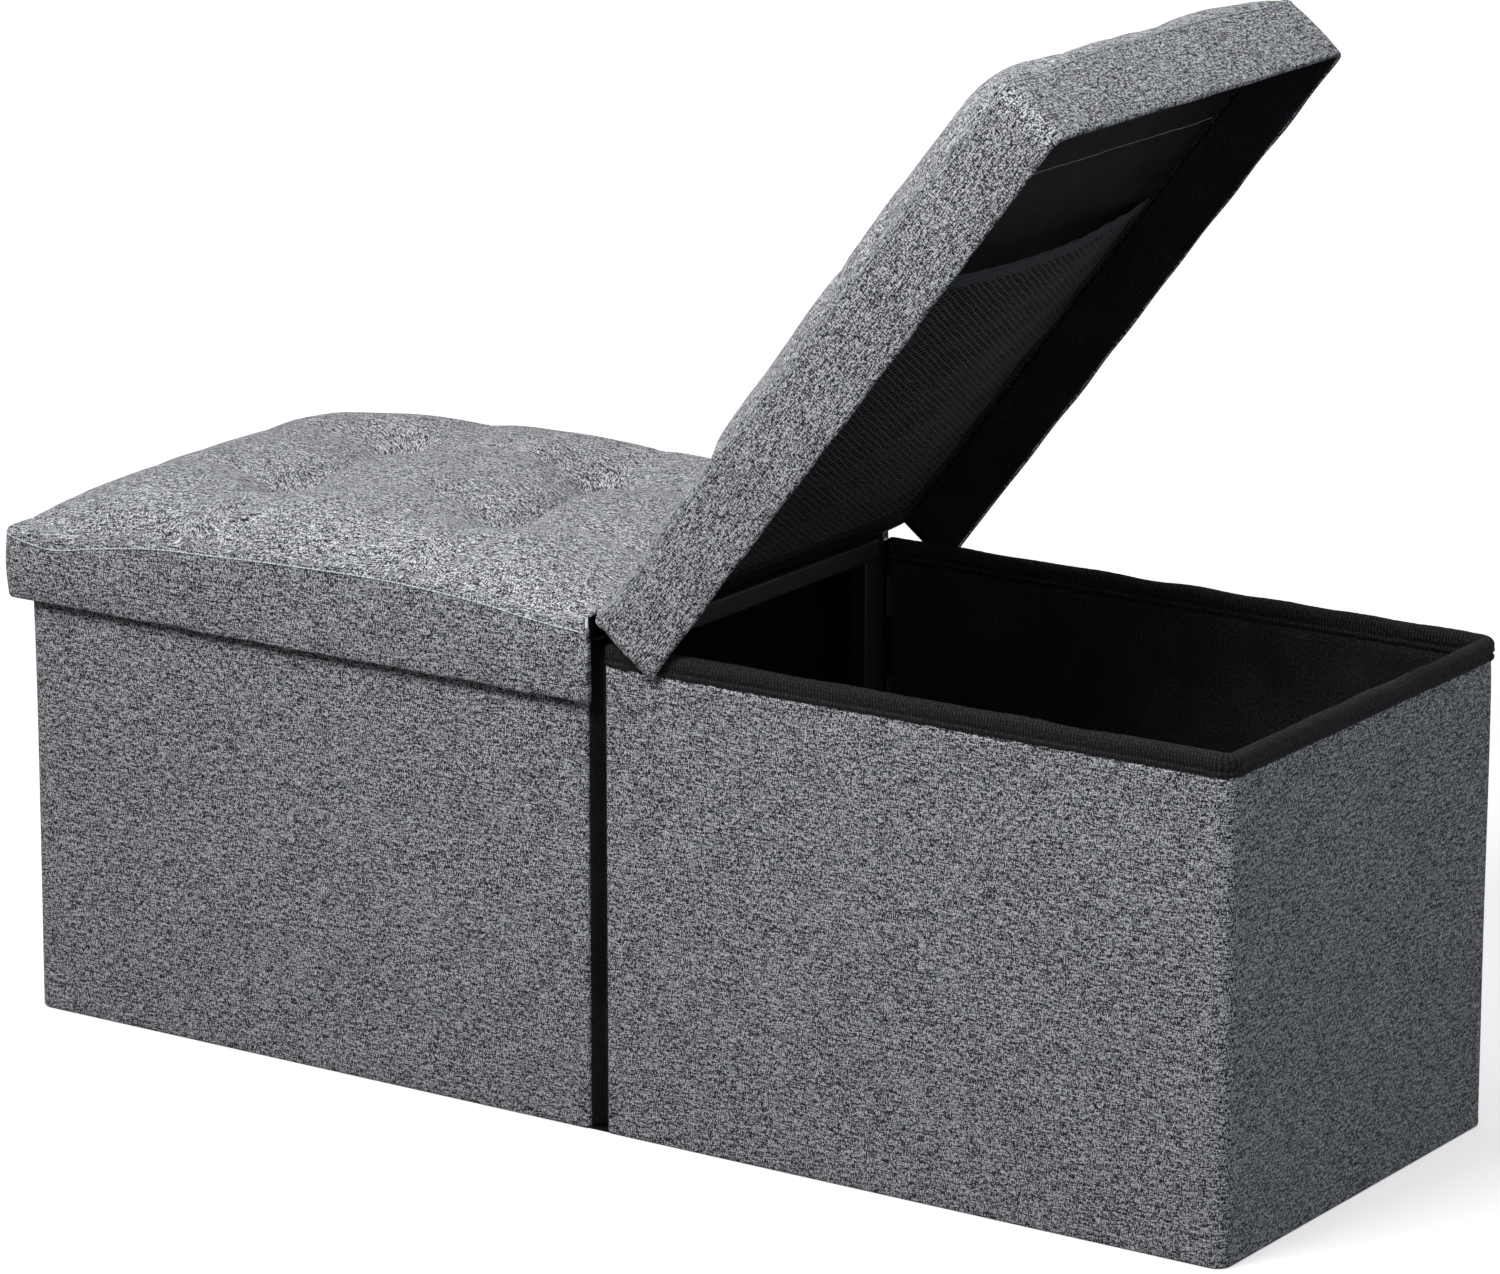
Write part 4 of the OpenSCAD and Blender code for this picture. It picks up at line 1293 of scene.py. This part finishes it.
def makeFloorTape(side):
    # hinge tape on the rear wall: drawn flat, then stood up
    low, high = lowest("floor_tape_right"), highest("floor_tape_right")
    flat, quads, place = softSlab((low[0], low[2], 0), (high[0], high[2], high[1] - low[1]), floorTape)
    stood = onGrid(flat[:, 0], high[1] - flat[:, 2], flat[:, 1])
    piece = oneSide("floorTape" + side.title(), stood, quads, tapeCloth, place, side)
    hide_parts("floor_tape_" + side)
    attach(piece, "root")
    x = np.linspace(low[0] + 3, high[0] - 3, 160)
    for name, z in (("tapeStitch", high[2] - 3), ("tapeStitchLow", low[2] + 4)):
        line = onGrid(x, low[1], z + 0.3 * ripple(x, 0, 60, 124))
        points, quads = stitchRow(line, (0, -1, 0), tapeStitch)
        piece = oneSide(name + side.title(), points, quads, blackThread, None, side)
        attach(piece, "root")


def makeBase():
    # cloth under the whole box: faint waves, and a fold across the middle
    low, high = lowest("base_cloth"), highest("base_cloth")
    points, quads, place = softSlab(low, high, baseCloth)
    x, z = points[:, 0], points[:, 2]
    points[:, 2] = np.clip(z + 0.35 * bell(x, 2.5) * (z < 0.7), low[2], high[2])
    piece = meshPiece("baseCloth", points, quads, liningCloth, place)
    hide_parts("base_cloth")
    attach(piece, "root")


def dressFrame():
    # rigid parts keep their solids and get their finish
    steel = ("frame_post_front", "frame_post_rear", "frame_top_bar", "frame_cross_bar")
    plastic = ("frame_feet", "frame_end_caps")
    boards = [name for name in frame["nodes"] if "_board_" in name and not name.startswith("floor")]
    for names, material in ((steel, powderCoat), (plastic, mouldedPlastic), (boards, fibreboard)):
        for name in names:
            for slot in frame["nodes"][name].material_slots:
                slot.material = material


makeSeats()
makeSkirts()
makeTopStitches()
makeLidLinings()
makeSeamStitches()
makeLidEdges()
makeHinge()
makeBarTacks()
print("lid made")
makeNet()
makeBand()
makePocketTape()
print("pocket made")
for side in ("left", "right"):
    makeFloorBoard(side)
    makeFloorTab(side)
    makeFloorTape(side)
makeBase()
dressFrame()
print("floor made")


# stage


def whiteRays(wires):
    # 1 for rays that come straight from the camera, from a reflection or through glass
    rays = wires.put("ShaderNodeLightPath").outputs
    reflected = wires.calc("MAXIMUM", rays["Is Glossy Ray"], rays["Is Transmission Ray"])
    return wires.calc("MAXIMUM", rays["Is Camera Ray"], reflected)


def makeStage():
    # a pale floor that shows white to the camera where nothing shades it
    mesh = bpy.data.meshes.new("studioFloor")
    corners = [(-14, -14, 0), (14, -14, 0), (14, 14, 0), (-14, 14, 0)]
    mesh.from_pydata(corners, [], [(0, 1, 2, 3)])
    floor = bpy.data.objects.new("studioFloor", mesh)
    floor.location.z = -0.0004
    bpy.context.scene.collection.objects.link(floor)
    material = bpy.data.materials.new("paleFloor")
    material.use_nodes = True
    tree = material.node_tree
    wires = Wires(tree)
    tree.nodes.remove(tree.nodes["Principled BSDF"])
    seen = whiteRays(wires)
    tones = {0: seen, 6: (0.1, 0.1, 0.1, 1), 7: (0.8, 0.8, 0.8, 1)}
    shade = wires.put("ShaderNodeMix", tones, data_type="RGBA")
    matt = wires.put("ShaderNodeBsdfDiffuse", {"Color": shade.outputs[2]})
    place = wires.put("ShaderNodeTexCoord").outputs["Object"]
    away = wires.put("ShaderNodeVectorMath", {0: place}, operation="LENGTH").outputs["Value"]
    white = wires.times(seen, wires.limits(away, 0.8, 3.0, 0.6, 1.05))
    glow = wires.put("ShaderNodeEmission", {"Color": (1, 1, 1, 1), "Strength": white})
    both = wires.put("ShaderNodeAddShader", {0: matt.outputs[0], 1: glow.outputs[0]})
    wires.feed(tree.nodes["Material Output"].inputs["Surface"], both.outputs[0])
    mesh.materials.append(material)


def makeWorld():
    world = bpy.data.worlds.new("studio")
    bpy.context.scene.world = world
    world.use_nodes = True
    wires = Wires(world.node_tree)
    light = world.node_tree.nodes["Background"]
    seen = whiteRays(wires)
    light.inputs["Color"].default_value = (1, 1, 1, 1)
    wires.feed(light.inputs["Strength"], wires.mix(seen, 0.05, 1.0))


def softLight(name, place, aim, size, watts, color=(1, 1, 1)):
    lamp = bpy.data.lights.new(name, "AREA")
    lamp.color = color
    lamp.shape = "RECTANGLE"
    lamp.size, lamp.size_y = size
    lamp.energy = watts
    obj = bpy.data.objects.new(name, lamp)
    bpy.context.scene.collection.objects.link(obj)
    obj.location = place
    toward = np.array(aim, float) - np.array(place, float)
    flat = math.hypot(toward[0], toward[1])
    obj.rotation_euler = (math.atan2(flat, -toward[2]), 0, math.atan2(toward[1], toward[0]) - math.pi / 2)


view = {"place": (2.8690, -4.2454, 1.7272), "turn": 33.993, "down": 15.2017, "lens": 170.58, "sensor": 36.0}


def makeCamera():
    lens = bpy.data.cameras.new("viewpoint")
    lens.sensor_fit = "HORIZONTAL"
    lens.sensor_width = view["sensor"]
    lens.lens = view["lens"]
    lens.clip_end = 60
    obj = bpy.data.objects.new("viewpoint", lens)
    bpy.context.scene.collection.objects.link(obj)
    obj.location = view["place"]
    obj.rotation_euler = (math.radians(90 - view["down"]), 0, math.radians(view["turn"]))
    bpy.context.scene.camera = obj


makeStage()
makeWorld()
softLight("keyLight", place=(-0.1, -1.62, 2.0), aim=(0, 0, 0.4), size=(1.0, 0.8), watts=32.5)
softLight("sideLight", place=(-1.6, -0.3, 2.1), aim=(0, 0, 0.35), size=(1.2, 1.2), watts=9.5)
softLight("topLight", place=(0.3, 0.1, 2.6), aim=(0, 0, 0.35), size=(1.6, 1.2), watts=14)
coolWhite = (0.93, 0.985, 1.09)
softLight("fillLight", place=(2.3, -0.7, 1.2), aim=(0.3, 0, 0.3), size=(1.5, 1.2), watts=8.8, color=coolWhite)
makeCamera()
bpy.context.scene.view_settings.view_transform = "Standard"
print("stage made")
